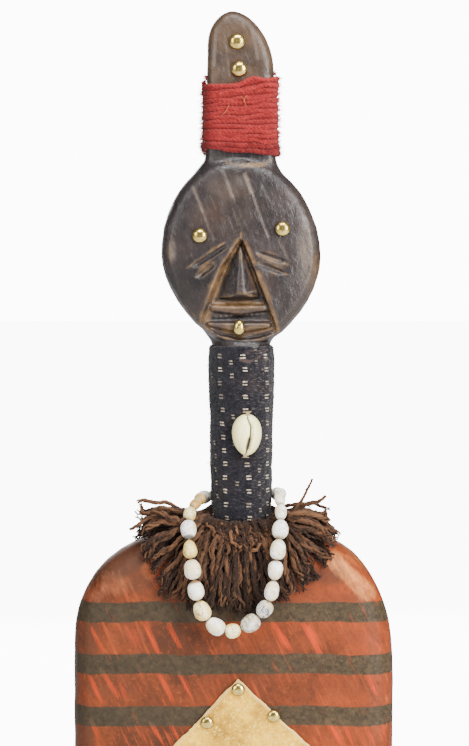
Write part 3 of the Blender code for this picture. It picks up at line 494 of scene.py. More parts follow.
def floor_material():
    """A plain pale floor, which meets the backdrop's white at some distance from the doll."""
    made, tree, shader = new_material("floor", {"Roughness": 0.8, "Specular IOR Level": 0.1,
                                                "Emission Color": (1.0, 1.0, 1.0, 1.0)})
    where = place(tree)
    seen = add(tree, "LightPath", {}, {}).outputs["Is Camera Ray"]
    away = add(tree, "VectorMath", {"operation": "LENGTH"}, {0: where}).outputs["Value"]
    far = ramp(tree, times(tree, away, 0.5), (0.08, 0.0), (0.45, 1.0))
    glow = times(tree, times(tree, seen, far), FLOOR_GLOW)
    colour = mix(tree, grain(tree, where, 3, 2), (0.88, 0.88, 0.87), (0.90, 0.90, 0.89))
    feed(tree, shader, {"Base Color": colour, "Emission Strength": glow})
    return made


# Meshes

def linked(name, data):
    """A new object in the scene."""
    made = bpy.data.objects.new(name, data)
    bpy.context.scene.collection.objects.link(made)
    return made


def dressed(name, mesh, finish, stands_for, attributes):
    """A smooth mesh with its marks and material, which rides on the doll and stands for CAD nodes."""
    mesh.shade_smooth()
    for key, values in attributes.items():
        layer = mesh.attributes.new(key, "FLOAT", "POINT")
        layer.data.foreach_set("value", np.asarray(values, dtype=np.float32))
    mesh.materials.clear()
    mesh.materials.append(finish)
    return settle(linked(name, mesh), stands_for)


def mesh_piece(name, points, faces, finish, stands_for=(), attributes=None):
    """A piece from points in the row frame."""
    mesh = bpy.data.meshes.new(name)
    mesh.from_pydata([tuple(point) for point in points], [], faces)
    mesh.update()
    return dressed(name, mesh, finish, stands_for, attributes or {})


def settle(made, stands_for=()):
    """The piece rides on the doll's body and stands for CAD nodes."""
    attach(made, "root")
    if stands_for:
        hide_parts(*stands_for)
    return made


def ring_faces(rows, around, closed=False):
    """Quads between rows of points that each run once round, and back to the first row if closed."""
    faces = []
    for row in range(rows if closed else rows - 1):
        low, high = row * around, (row + 1) % rows * around
        for k in range(around):
            j = (k + 1) % around
            faces.append((low + k, low + j, high + j, high + k))
    return faces


def faces_outwards(made, merged=False):
    """Turns a closed mesh's faces outwards, after its double points are merged if asked."""
    bm = bmesh.new()
    bm.from_mesh(made.data)
    if merged:
        bmesh.ops.remove_doubles(bm, verts=bm.verts, dist=DOUBLE_REACH)
    bmesh.ops.recalc_face_normals(bm, faces=bm.faces)
    bm.to_mesh(made.data)
    bm.free()
    return made


def smoothstep(value):
    """0 below 0, 1 above 1, and a soft step between."""
    value = np.clip(value, 0.0, 1.0)
    return value * value * (3 - 2 * value)


def soft_step(value):
    """The soft step of one number."""
    return float(smoothstep(value))


def ripple(x, y, z):
    """Smooth noise at a place."""
    return noise.noise(Vector((x, y, z)))


def unit(vector):
    """A vector made one long."""
    return vector / np.linalg.norm(vector)


def jitter(picks, spread):
    """A small random move."""
    return np.array([picks.gauss(0, spread) for _ in range(3)])


def bent_hair(picks, base, lean, length, spread):
    """A hair of two stretches, the second of which bends away."""
    middle = base + lean * length * 0.5
    tip = middle + (lean + jitter(picks, spread)) * length * 0.5
    return np.array((base, middle, tip))


def catmull(points, steps):
    """A smooth curve through points, as an array."""
    route = [np.array(p, dtype=float) for p in points]
    route = [2 * route[0] - route[1], *route, 2 * route[-1] - route[-2]]
    curve = []
    for a, b, c, d in zip(route, route[1:], route[2:], route[3:]):
        for k in range(steps):
            t = k / steps
            curve.append(0.5 * (2 * b + (c - a) * t + (2 * a - 5 * b + 4 * c - d) * t ** 2
                                + (3 * b - a - 3 * c + d) * t ** 3))
    curve.append(route[-2])
    return np.array(curve)


def lengths_along(path):
    """The distance along a path at each of its points."""
    return np.concatenate(([0.0], np.cumsum(np.linalg.norm(np.diff(path, axis=0), axis=1))))


def resampled(path, count):
    """The same path with evenly spaced points."""
    lengths = lengths_along(path)
    at = np.linspace(0, lengths[-1], count)
    return np.stack([np.interp(at, lengths, path[:, k]) for k in range(3)], axis=1)


def frames(path):
    """Two unit normals along a path, turned as little as can be."""
    tangents = np.gradient(path, axis=0)
    tangents /= np.linalg.norm(tangents, axis=1)[:, None] + 1e-12
    normal = np.cross(tangents[0], (0.0, 0.0, 1.0) if abs(tangents[0][2]) < 0.9 else (1.0, 0.0, 0.0))
    normals = []
    for tangent in tangents:
        normal = normal - tangent * normal.dot(tangent)
        normal /= np.linalg.norm(normal) + 1e-12
        normals.append(normal)
    normals = np.array(normals)
    return normals, np.cross(tangents, normals)


def twisted(path, offset, pitch, phase):
    """One ply: a helix round a path."""
    first, second = frames(path)
    angle = 2 * math.pi * lengths_along(path) / pitch + phase
    return path + offset[:, None] * (np.cos(angle)[:, None] * first + np.sin(angle)[:, None] * second)


class Tubes:
    """Many closed tubes gathered into one mesh, with a tone for each."""

    def __init__(self):
        self.points = []
        self.faces = []
        self.tones = []
        self.count = 0

    def add(self, path, radii, sides, tone):
        """One tube along a path, with a radius at each point."""
        first, second = frames(path)
        turns = np.arange(sides) * 2 * math.pi / sides
        ring = np.cos(turns)[None, :, None] * first[:, None, :]
        ring = ring + np.sin(turns)[None, :, None] * second[:, None, :]
        self.points.append((path[:, None, :] + np.asarray(radii)[:, None, None] * ring).reshape(-1, 3))
        start = self.count
        for k in range(len(path) - 1):
            low = start + k * sides
            for i in range(sides):
                j = (i + 1) % sides
                self.faces.append((low + i, low + j, low + sides + j, low + sides + i))
        last = start + (len(path) - 1) * sides
        self.faces.append(tuple(range(start + sides - 1, start - 1, -1)))
        self.faces.append(tuple(range(last, last + sides)))
        self.tones.append(np.full(len(path) * sides, tone))
        self.count += len(path) * sides

    def add_faces(self, points, faces, tone):
        """A closed shape that isn't a tube."""
        self.points.append(points)
        self.faces += [tuple(self.count + corner for corner in face) for face in faces]
        self.tones.append(np.full(len(points), tone))
        self.count += len(points)

    def piece(self, name, finish, stands_for=()):
        """The mesh of all the tubes."""
        tones = {"tone": np.concatenate(self.tones)}
        return mesh_piece(name, np.concatenate(self.points), self.faces, finish, stands_for, tones)


def applied(made):
    """The object's mesh with its modifiers applied; the object goes."""
    depsgraph = bpy.context.evaluated_depsgraph_get()
    mesh = bpy.data.meshes.new_from_object(made.evaluated_get(depsgraph))
    bpy.data.objects.remove(made)
    return mesh


HEAD_VOXEL = 0.0008
BOARD_VOXEL = 0.0015
DOUBLE_REACH = 1e-6


def cut_and_remeshed(name, keep_above, voxel):
    """The part of the carved figure above or below the cut in its neck, as an even mesh."""
    bm = bmesh.new()
    bm.from_mesh(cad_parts["carved_figure"].data)
    bmesh.ops.remove_doubles(bm, verts=bm.verts, dist=DOUBLE_REACH)
    cut = bmesh.ops.bisect_plane(bm, geom=[*bm.verts, *bm.edges, *bm.faces], plane_co=(0, 0, CUT_Z),
                                 plane_no=(0, 0, 1), clear_inner=keep_above, clear_outer=not keep_above)
    rim = [g for g in cut["geom_cut"] if isinstance(g, bmesh.types.BMEdge)]
    bmesh.ops.contextual_create(bm, geom=rim)
    mesh = bpy.data.meshes.new(name)
    bm.to_mesh(mesh)
    bm.free()
    made = linked(name, mesh)
    step = made.modifiers.new("even", "REMESH")
    step.mode = "VOXEL"
    step.voxel_size = voxel
    return applied(made)


def coordinates(mesh):
    """The mesh's points as an array."""
    flat = np.empty(len(mesh.vertices) * 3)
    mesh.vertices.foreach_get("co", flat)
    return flat.reshape(-1, 3)


def moved(mesh, points):
    """The mesh with its points in new places."""
    mesh.vertices.foreach_set("co", points.reshape(-1))
    mesh.update()
    return mesh


def edge_pairs(mesh):
    """The mesh's edges as an array of pairs."""
    flat = np.empty(len(mesh.edges) * 2, dtype=np.int64)
    mesh.edges.foreach_get("vertices", flat)
    return flat.reshape(-1, 2)


def neighbour_mean(values, pairs, count):
    """The mean of each point's neighbours."""
    both = np.concatenate((pairs, pairs[:, ::-1]))
    total = [np.bincount(both[:, 0], values[both[:, 1], k], count) for k in range(values.shape[1])]
    return np.stack(total, axis=1) / np.maximum(1, np.bincount(both[:, 0], minlength=count))[:, None]


def relaxed(points, pairs, rounds, weight=None):
    """Points moved towards their neighbours' mean, each by its own weight."""
    weight = np.ones(len(points)) if weight is None else weight
    for _ in range(rounds):
        points = points + (neighbour_mean(points, pairs, len(points)) - points) * (0.5 * weight[:, None])
    return points


def normals_of(mesh):
    """The mesh's point normals as an array."""
    flat = np.empty(len(mesh.vertices) * 3, dtype=np.float32)
    mesh.vertex_normals.foreach_get("vector", flat)
    return flat.reshape(-1, 3).astype(float)


def line_distance(points, start, end):
    """How far points in a plane are from a line between two places, and their share along it."""
    start, end = np.array(start), np.array(end)
    along = end - start
    share = np.clip(((points - start) @ along) / (along @ along), 0, 1)
    return np.linalg.norm(points - (start + share[:, None] * along), axis=1), share


def from_ellipse(flat, centre, reach):
    """How far points in a plane are from a place, where 1 is the edge of an ellipse round it."""
    return np.hypot((flat[:, 0] - centre[0]) / reach[0], (flat[:, 1] - centre[1]) / reach[1])


def line_marks(flat, lines):
    """For each line in the frame: its strength, how many half widths points are from it, and their share."""
    for column_a, row_a, column_b, row_b, half, strength in lines:
        distance, share = line_distance(flat, spot(column_a, row_a), spot(column_b, row_b))
        yield strength, distance / (half * PIXEL), share


def patch_marks(flat, patches):
    """For each patch in the frame: its strength, and how far points are from its middle."""
    for column, row, half_width, half_height, strength in patches:
        yield strength, from_ellipse(flat, spot(column, row), (half_width * PIXEL, half_height * PIXEL))


def bumps(points, scale, seed_at):
    """Smooth noise at points."""
    shift = Vector((seed_at, seed_at * 1.7, -seed_at))
    return np.array([noise.noise(Vector(p) * scale + shift) for p in points])


# Places in the frame: column and row of both ends, half width in pixels, and strength
WORN_LINES = (
    (237, 242, 228, 261, 3.4, 0.95), (228, 261, 214.5, 287, 5.2, 1.0), (214.5, 287, 205, 318, 6.0, 0.95),
    (245, 244, 255.5, 269, 3.0, 0.90), (255.5, 269, 268, 298, 3.2, 0.95), (268, 298, 276.5, 330, 3.2, 1.0),
    (241.5, 244, 263, 296, 1.1, 1.0), (245, 262, 257, 292, 2.0, 0.25), (241, 233, 241, 240, 1.2, 0.6),
    (217, 305.5, 264, 305.5, 4.4, 0.95), (208, 326, 236, 333, 3.4, 0.65), (236, 333, 268, 326, 3.4, 0.70),
    (203, 321, 238, 338, 1.6, 0.6), (238, 338, 272, 329, 1.6, 0.8), (226, 162, 240, 166, 1.8, 0.9),
    (240, 166, 264, 165, 2.2, 1.0), (264, 165, 271, 160, 1.6, 0.7), (187, 268, 224, 243, 1.0, 0.85),
    (196, 276, 213, 264, 2.0, 0.75), (257, 254, 288, 265, 1.1, 0.85), (258, 262.5, 288, 275, 0.9, 0.75),
    (172, 290, 196, 318, 1.2, 0.5),
)
# Pale marks, in the same way; the line at rows 291 to 293 is a painted highlight on a nostril's wing
PALE_LINES = (
    (245, 175, 252, 192, 2.2, 0.80), (252, 192, 268, 237, 1.2, 0.50), (223, 172, 232, 197, 1.8, 0.65),
    (193, 188, 203, 212, 1.4, 0.65), (203, 212, 214, 240, 1.0, 0.35), (205, 200, 210, 212, 0.6, 0.25),
    (210, 196, 216, 210, 0.6, 0.35), (228, 216, 232, 228, 0.6, 0.30), (233, 209, 238, 226, 0.7, 0.35),
    (238, 205, 241, 218, 0.6, 0.25), (224, 220, 227, 231, 0.6, 0.25), (262, 186, 268, 200, 0.8, 0.25),
    (279, 240, 290, 262, 1.4, 0.30), (216, 30, 214, 66, 1.4, 0.45), (226, 48, 230, 76, 1.2, 0.45),
    (252, 30, 258, 60, 1.4, 0.40), (243, 24, 247, 34, 1.0, 0.4), (247, 293, 256, 291, 0.9, 0.7),
    (224, 294, 232, 296, 0.7, 0.4),
)
CHISEL_LINES = (
    (247, 176, 270, 240, 1.6, 0.45), (225, 172, 236, 200, 1.8, 0.40), (195, 188, 216, 244, 1.7, 0.40),
    (204, 200, 211, 214, 0.8, 0.30), (208, 196, 216, 211, 0.8, 0.30), (228, 214, 234, 230, 0.8, 0.35),
    (232, 211, 238, 228, 0.8, 0.35), (236, 208, 241, 224, 0.8, 0.30), (225, 218, 229, 232, 0.8, 0.25),
    (279, 240, 290, 262, 1.6, 0.25), (171, 240, 174, 262, 2.4, 0.50), (225, 229, 231, 234, 1.5, 0.40),
    (231, 234, 239, 233, 1.5, 0.45), (239, 233, 246, 227, 1.5, 0.40),
)
# Dark lines, in the same way: painted shadow under the nose and painted shade on its left face; the others
# darken the mouth's slit and the cuts at the nose's top
DARK_LINES = (
    (213, 319, 237, 317.5, 1.9, 1.0), (237, 317.5, 265, 316, 1.9, 1.0), (217, 299, 262, 298, 1.5, 0.9),
    (225, 229, 231, 234, 0.9, 0.6), (231, 234, 238, 233, 0.9, 0.6), (240, 232, 246, 227, 0.9, 0.5),
    (237, 256, 222, 292, 2.6, 0.50),
)
# Darker and paler parts of the face: column, row, half width and half height in pixels, and strength; the
# dark patch under the chin is painted shade
DARK_PATCHES = (
    (188, 292, 26, 38, 0.60), (283, 300, 20, 24, 0.30), (292, 255, 12, 26, 0.20), (181, 212, 14, 26, 0.30),
    (262, 205, 12, 26, 0.25), (242, 341, 40, 8, 0.50),
)
PALE_PATCHES = ((306, 250, 11, 44, 0.70), (172, 251, 4.4, 14, 0.85), (228, 186, 26, 14, 0.22))
MOUTH_CENTRE = (238.5, 317)
MOUTH_REACH = (0.0200, 0.0105)
TEETH_ROW = ((213, 317.0), (265, 315.0))
TEETH_PITCH = 0.0031


def sharp_places():
    """Points along the carved edges of the face, which smoothing leaves alone."""
    bm = bmesh.new()
    bm.from_mesh(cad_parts["carved_figure"].data)
    bmesh.ops.remove_doubles(bm, verts=bm.verts, dist=DOUBLE_REACH)
    places = []
    for edge in bm.edges:
        middle = (edge.verts[0].co + edge.verts[1].co) / 2
        if middle.y > -0.005 or not JAW_Z + 0.003 < middle.z < HEAD_Z + 0.016 or not edge.is_manifold:
            continue
        if edge.calc_face_angle() > math.radians(17):
            count = max(2, int(edge.calc_length() / 0.001))
            places += [edge.verts[0].co.lerp(edge.verts[1].co, k / count) for k in range(count + 1)]
    bm.free()
    tree = KDTree(len(places))
    for k, where in enumerate(places):
        tree.insert(where, k)
    tree.balance()
    return tree


def teeth(flat):
    """The row of teeth along the mouth: how high places stand in it, and painted highlights on them."""
    ends = [np.array(spot(*end)) for end in TEETH_ROW]
    distance, share = line_distance(flat, *ends)
    row = share * np.linalg.norm(ends[1] - ends[0])
    wave = np.sin(math.pi * row / TEETH_PITCH)
    raised = np.abs(wave) * np.clip(1 - distance / 0.0011, 0, 1)
    beside_tack = np.abs(share - 0.5) > 0.08
    return raised, beside_tack * wave ** 4 * np.clip(1.3 - distance / 0.0009, 0, 1)


def head(finish):
    """Head and crest: the carved solid made even, its facets smoothed, and chisel marks and wear added."""
    mesh = cut_and_remeshed("head", True, HEAD_VOXEL)
    points = coordinates(mesh)
    pairs = edge_pairs(mesh)
    sharp = sharp_places()
    near = np.array([sharp.find(p)[2] for p in points])
    points = relaxed(points, pairs, 26, smoothstep((near - 0.0010) / 0.0040))
    points = relaxed(points, pairs, 2)
    from_mouth = from_ellipse(points[:, [0, 2]], spot(*MOUTH_CENTRE), MOUTH_REACH)
    near_mouth = smoothstep((1.2 - from_mouth) / 0.4) * smoothstep(-points[:, 1] / 0.004)
    points = relaxed(points, pairs, 14, near_mouth)
    normals = normals_of(moved(mesh, points))
    facing = smoothstep((-normals[:, 1] - 0.15) / 0.4)
    flat = points[:, [0, 2]]
    lift = bumps(points, 95, 3.0) * 0.00022 + bumps(points * (1, 1, 0.35), 260, 8.0) * 0.00012
    for depth, away, share in line_marks(flat, CHISEL_LINES):
        lift -= facing * depth * 0.001 * np.clip(1 - away, 0, 1) * np.sin(math.pi * (0.15 + 0.7 * share))
    # The teeth's relief, and painted highlights on them
    raised, rubbed = teeth(flat)
    lift += facing * raised * 0.0007
    points = points + normals * lift[:, None]
    curved = np.einsum("ij,ij->i", points - neighbour_mean(points, pairs, len(points)), normals)
    curved = relaxed(curved[:, None], pairs, 4)[:, 0]
    broken = bumps(points, 140, 5.0)
    wear = smoothstep((curved - 0.000018) / 0.00005) * smoothstep(0.55 + broken)
    for strength, away, _ in line_marks(flat, WORN_LINES):
        here = strength * smoothstep(1.4 - away)
        wear = np.maximum(wear, facing * here * smoothstep(0.9 + broken))
    rim = smoothstep((points[:, 0] - 0.043) / 0.008) * smoothstep((HEAD_Z + 0.01 - points[:, 2]) / 0.02)
    wear = np.maximum(wear, 0.55 * rim * (points[:, 2] > JAW_Z))
    # Painted shade: darker where the wood curves inwards, in hollows and grooves
    dark = smoothstep((-curved - 0.00002) / 0.00006) * 0.35
    # Painted highlights on the teeth
    pale = facing * rubbed
    for strength, away, _ in line_marks(flat, PALE_LINES):
        pale = np.maximum(pale, facing * strength * smoothstep(1.5 - away))
    # The dark lines: painted shadow under the nose, painted shade on its left face, and darker cuts
    for strength, away, _ in line_marks(flat, DARK_LINES):
        dark = np.maximum(dark, facing * strength * smoothstep(1.4 - away))
    front = smoothstep(-points[:, 1] / 0.004)
    for patches, marks in ((DARK_PATCHES, dark), (PALE_PATCHES, pale)):
        for strength, away in patch_marks(flat, patches):
            np.maximum(marks, front * strength * smoothstep(1.25 - away), out=marks)
    marks = {"wear": wear, "dark": dark, "pale": pale}
    return dressed("head", moved(mesh, points), finish, ("carved_figure",), marks)


def board_top(x):
    """The height of the board's shoulders across it."""
    x = np.asarray(x, dtype=float)
    left = np.clip((-0.0403 - x) / 0.057, 0, 0.9999)
    right = np.clip((x - 0.0473) / 0.050, 0, 0.9999)
    return SHOULDER_Z - 0.064 * (1 - np.sqrt(1 - left ** 2)) - 0.076 * (1 - np.sqrt(1 - right ** 2))


# Bright strokes of paint on the board's front, in the same way as the lines on the face
PAINT_STROKES = (
    (90, 629, 103, 655, 1.3, 0.9), (125, 626, 136, 652, 1.1, 0.8), (131, 627, 141, 651, 1.0, 0.7),
    (144, 625, 158, 656, 2.2, 1.0), (167, 626, 181, 651, 1.5, 0.9), (99, 671, 118, 701, 2.0, 1.0),
    (89, 680, 101, 707, 1.6, 1.0), (117, 680, 128, 706, 1.1, 0.8), (134, 678, 144, 701, 1.2, 0.6),
    (159, 676, 173, 706, 1.7, 1.0), (179, 675, 192, 703, 1.7, 0.9), (89, 722, 100, 746, 1.5, 0.9),
    (149, 725, 165, 750, 1.9, 0.9), (170, 727, 180, 746, 1.4, 0.8), (269, 619, 292, 652, 2.2, 1.0),
    (275, 632, 288, 651, 2.6, 0.8), (303, 625, 323, 659, 2.4, 1.0), (309, 628, 320, 656, 2.8, 0.9),
    (240, 628, 246, 650, 1.1, 0.6), (255, 628, 262, 650, 1.1, 0.5), (368, 676, 378, 699, 1.6, 0.9),
    (362, 640, 370, 656, 1.0, 0.6), (330, 676, 340, 696, 1.1, 0.5), (345, 684, 352, 700, 1.0, 0.5),
    (327, 723, 345, 750, 2.8, 1.0), (343, 725, 355, 750, 2.0, 0.9), (363, 726, 377, 750, 1.5, 0.8),
    (383, 727, 388, 746, 1.1, 0.7), (215, 680, 222, 690, 1.2, 0.6), (110, 590, 126, 606, 2.0, 0.5),
)
# Brown smudges and pale rubbed patches: column, row, half width and half height in pixels, and strength; the
# wide brown patch at row 600, at the fringe's ends, is painted shade, and the narrow strip at column 388 is a
# painted highlight down the board's right edge
SMUDGES = (
    (112, 562, 34, 20, 1.0), (138, 584, 14, 12, 0.6), (330, 577, 22, 10, 0.70), (345, 600, 24, 6, 0.4),
    (88, 640, 12, 40, 0.55), (150, 640, 40, 12, 0.35), (110, 690, 40, 14, 0.40), (300, 575, 26, 16, 0.55),
    (350, 690, 30, 12, 0.35), (262, 680, 20, 10, 0.40), (84, 735, 10, 30, 0.6), (340, 640, 26, 10, 0.30),
    (240, 600, 90, 26, 0.45),
)
RUBBED = (
    (113, 586, 20, 14, 0.58), (92, 598, 12, 10, 0.58), (145, 574, 8, 12, 0.40), (358, 561, 20, 22, 0.42),
    # The narrow strip at column 388 is a painted highlight down the board's right edge
    (388, 690, 4, 70, 0.28), *((333 + 5 * step, 560 + 5 * step, 10, 9, 0.80) for step in range(8)),
)
LOWER_BANDS = range(3, 9)
STROKE_SPREAD = 0.0013
# Painted shade where the fringe keeps light off the board, in the same way
UNDER_FRINGE = ((238, 545, 66, 34, 0.9), (236, 585, 42, 22, 0.9))
FOOT_TOP_Z = 0.0225
BOARD_HALF = 0.0973


def loose_strokes(picks, bands, per_band):
    """Strokes between the stripes where the photo shows none: both ends in metres, half width, strength."""
    strokes = []
    for band in bands:
        top = STRIPE_TOP_Z - STRIPE_PITCH * (band - 1) - STRIPE_HALF
        for _ in range(per_band):
            x = picks.uniform(-0.092, 0.086)
            start = top - picks.uniform(-0.001, 0.004)
            length = picks.uniform(0.010, 0.018)
            end = (x + length * picks.uniform(0.32, 0.60), start - length)
            strokes.append(((x, start), end, picks.uniform(1.0, 2.3), picks.uniform(0.6, 1.0)))
    return strokes


def stroke_field(flat, strokes):
    """How strong the paint's strokes are at points in a plane."""
    field = np.zeros(len(flat))
    for start, end, half, strength in strokes:
        distance, share = line_distance(flat, start, end)
        spread = STROKE_SPREAD + 0.5 * half * PIXEL
        taper = 0.60 + 0.40 * np.sin(math.pi * (0.15 + 0.75 * share))
        field = np.maximum(field, strength * taper * np.exp(-(distance / spread) ** 2))
    return field


def board(paint, wood):
    """Board and foot: the carved solid made even, with uneven faces, strokes and rubbed shoulders, and
    painted shade at its left rim and under the fringe.
    """
    mesh = cut_and_remeshed("board", False, BOARD_VOXEL)
    points = coordinates(mesh)
    pairs = edge_pairs(mesh)
    foot = smoothstep((0.032 - points[:, 2]) / 0.004)
    points = relaxed(points, pairs, 14, 1 - 0.9 * foot)
    normals = normals_of(moved(mesh, points))
    lift = bumps(points, 38, 1.0) * 0.0005 + bumps(points, 120, 6.0) * 0.00018
    lift *= smoothstep((points[:, 2] - 0.001) / 0.004)
    points = points + normals * (lift - 0.0001)[:, None]
    flat = points[:, [0, 2]]
    picks = random.Random(21)
    front = [(spot(*ends[:2]), spot(*ends[2:]), half, strength) for *ends, half, strength in PAINT_STROKES]
    front += loose_strokes(picks, LOWER_BANDS[1:], 7)
    back = loose_strokes(picks, range(1, LOWER_BANDS[-1] + 1), 6)
    strokes = [relaxed(stroke_field(flat, side)[:, None], pairs, 1)[:, 0] for side in (front, back)]
    facing_front = points[:, 1] < 0
    marks = dict.fromkeys(("smudge", "pale", "stroke", "wear", "dark"), np.zeros(len(points)))
    marks["stroke"] = np.where(facing_front, *strokes)
    for key, patches in (("smudge", SMUDGES), ("pale", RUBBED)):
        for strength, away in patch_marks(flat, patches):
            marks[key] = np.maximum(marks[key], facing_front * strength * smoothstep(1.5 - away))
    edge = board_top(points[:, 0]) - points[:, 2]
    side = BOARD_HALF - np.abs(points[:, 0])
    rim = 1 - smoothstep((np.minimum(edge, side) - 0.001) / 0.004)
    left = smoothstep(-points[:, 0] / 0.02)
    behind = smoothstep(points[:, 1] / 0.01)
    # Painted shade: the rim is darker, twice as much on the left, away from the key light; the back is a
    # little darker
    for shaded_and_smudged in (rim * (0.45 + 0.45 * left), 0.30 * behind):
        marks["smudge"] = np.maximum(marks["smudge"], shaded_and_smudged)
    # Painted shade under the fringe
    for strength, away in patch_marks(flat, UNDER_FRINGE):
        marks["dark"] = np.maximum(marks["dark"], strength * smoothstep((1.15 - away) / 0.3))
    made = dressed("board", moved(mesh, points), paint, ("carved_figure",), marks)
    made.data.materials.append(wood)
    for polygon in made.data.polygons:
        if polygon.center.z < FOOT_TOP_Z:
            polygon.material_index = 1
    return made


def crest_half(z):
    """Half the crest's width at a height."""
    return CREST_HALF + CREST_FLARE * (CREST_TOP_Z - z) / (CREST_TOP_Z - CROWN_Z)


def crest_point(turn, z, out):
    """A place round the crest, grown by out, at a share of one turn from the middle of its front."""
    half_x = crest_half(z) - CREST_CORNER
    half_y = CREST_DEPTH / 2 - CREST_CORNER
    radius = CREST_CORNER + out
    bow = math.pi * radius / 2
    straight_x, straight_y = 2 * half_x, 2 * half_y
    total = 2 * straight_x + 2 * straight_y + 4 * bow
    left = (turn * total + straight_x / 2) % total
    for corner_x, corner_y, towards, run in (
        (1, -1, -90, straight_x), (1, 1, 0, straight_y), (-1, 1, 90, straight_x), (-1, -1, 180, straight_y),
    ):
        start = math.radians(towards)
        if left <= run:
            x = corner_x * half_x + radius * math.cos(start) + (run - left) * math.sin(start)
            y = corner_y * half_y + radius * math.sin(start) - (run - left) * math.cos(start)
            return CREST_SHIFT + x, y
        left -= run
        if left <= bow:
            angle = start + left / radius
            x = CREST_SHIFT + corner_x * half_x + radius * math.cos(angle)
            return x, corner_y * half_y + radius * math.sin(angle)
        left -= bow
    return crest_point(0.0, z, out)


YARN_TURNS = 16
YARN_PITCH = 0.0028
YARN_STEPS = 112
YARN_HAIRS = 3600
YARN_TUFT_HAIRS = 16
YARN_BOTTOM_Z = CROWN_Z + 0.0012
YARN_LOW_SLOPE = -0.11
YARN_HIGH_SLOPE = 0.14
# Each winding: its first and last turn, how far out it lies, how much it wanders, and its tone
YARN_WINDINGS = (
    (0.45, YARN_TURNS - 0.3, 0.00120, 0.0007, 0.50), (0.9, YARN_TURNS - 0.6, 0.0012, 0.0030, 0.60),
    (13.9, 15.8, 0.0019, 0.0034, 0.75), (0.4, 2.4, 0.0018, 0.0034, 0.10),
)
# Where the yarn is ragged at its edges, and the fine ends caught in its front, in pixels
YARN_TUFTS = (
    (205, 78), (204, 84), (203, 96), (204, 130), (205, 150), (203, 153), (276, 74), (278, 100), (278, 133),
    (277, 152),
)
LOOSE_THREADS = (
    ((241, 97), (244, 101), (246, 107)), ((247, 96), (245, 99), (244, 103)),
    ((229, 106), (226, 112), (222, 116)),
)


def yarn_slope(share):
    """How steeply the winding slopes at a share of its height."""
    return YARN_LOW_SLOPE + (YARN_HIGH_SLOPE - YARN_LOW_SLOPE) * share


def yarn_route(start, end, out, wander):
    """A stretch of the winding between two turns."""
    points = []
    for k in range(int((end - start) * YARN_STEPS) + 1):
        turn = start + k / YARN_STEPS
        level = YARN_BOTTOM_Z + YARN_PITCH * turn
        x, y = crest_point(turn, level, out + 0.00025 * ripple(turn * 3.1, 4.0, out * 900))
        shift = wander * ripple(x * 90, y * 90, turn * 0.9)
        points.append((x, y, level + yarn_slope(turn / YARN_TURNS) * (x - CREST_SHIFT) + shift))
    return np.array(points)


def under_yarn(tubes):
    """The lower layer of the winding, which fills the dark lines between the outer turns."""
    around, levels = 96, 20
    low, high = YARN_BOTTOM_Z + 0.6 * YARN_PITCH, YARN_BOTTOM_Z + (YARN_TURNS - 0.5) * YARN_PITCH
    rings = []
    for out, shares in ((0.0013, range(levels + 1)), (0.0003, range(levels, -1, -1))):
        for level in shares:
            share = level / levels
            for k in range(around):
                x, y = crest_point(k / around, CROWN_Z, out)
                rings.append((x, y, low + (high - low) * share + yarn_slope(share) * (x - CREST_SHIFT)))
    tubes.add_faces(np.array(rings), ring_faces(2 * (levels + 1), around, True), 0.30)


def yarn_outward(start):
    """Which way is out from the crest at a place in the winding."""
    across = start[0] - CREST_SHIFT
    if abs(start[1]) > CREST_DEPTH / 2:
        return np.array((0.0, math.copysign(1, start[1]), 0.0))
    if abs(across) > CREST_HALF:
        return np.array((math.copysign(1, across), 0.0, 0.0))
    return unit(np.array((across, start[1], 0.0)))


def yarn(finish):
    """Two-ply red yarn wound round the crest, with loose fibres."""
    picks = random.Random(7)
    tubes = Tubes()
    under_yarn(tubes)
    routes = [(yarn_route(*winding), tone) for *winding, tone in YARN_WINDINGS]
    for route, tone in routes:
        count = len(route)
        swell = 1 + 0.22 * np.array([ripple(k * 0.045, 1.0, tone * 9) for k in range(count)])
        for ply in range(2):
            path = twisted(route, np.full(count, 0.00044) * swell, 0.0048, math.pi * ply)
            tubes.add(path, np.full(count, 0.00104) * swell, 6, tone + 0.08 * ply)
    skin = np.concatenate([route for route, tone in routes])
    for _ in range(YARN_HAIRS):
        start = skin[picks.randrange(len(skin))]
        outward = yarn_outward(start)
        drift = jitter(picks, 1)
        length = picks.uniform(0.0012, 0.0034)
        lean = unit(outward * 0.75 + drift * 0.6)
        hair = bent_hair(picks, start + outward * 0.0009, lean, length, 0.5)
        tubes.add(hair, (0.00010, 0.00009, 0.00003), 3, picks.uniform(0.3, 1.0))
    for column, row in YARN_TUFTS:
        x, z = spot(column, row)
        way = math.copysign(1, x - CREST_SHIFT)
        for _ in range(YARN_TUFT_HAIRS):
            depth = picks.uniform(-0.9, 0.5) * CREST_DEPTH / 2
            base = np.array((x - way * 0.0012, depth, z + picks.gauss(0, 0.0006)))
            lean = unit(np.array((way * picks.uniform(0.4, 1.0), picks.gauss(0, 0.5), picks.gauss(0, 0.8))))
            middle = base + lean * picks.uniform(0.0008, 0.0015)
            tip = middle + (lean + jitter(picks, 0.6)) * 0.0012
            tubes.add(np.array((base, middle, tip)), (0.00034, 0.00026, 0.00008), 4, picks.uniform(0.2, 0.9))
    return tubes.piece("yarn", finish, ("crest_yarn",))


def loose_threads(finish):
    """Fine ends of brown fibre caught in the yarn's front."""
    tubes = Tubes()
    for places in LOOSE_THREADS:
        path = catmull([placed(column, row, -CREST_DEPTH / 2 - 0.0034) for column, row in places], 6)
        tubes.add(path, np.full(len(path), 0.00013), 5, 0.8)
    return tubes.piece("yarn_threads", finish)


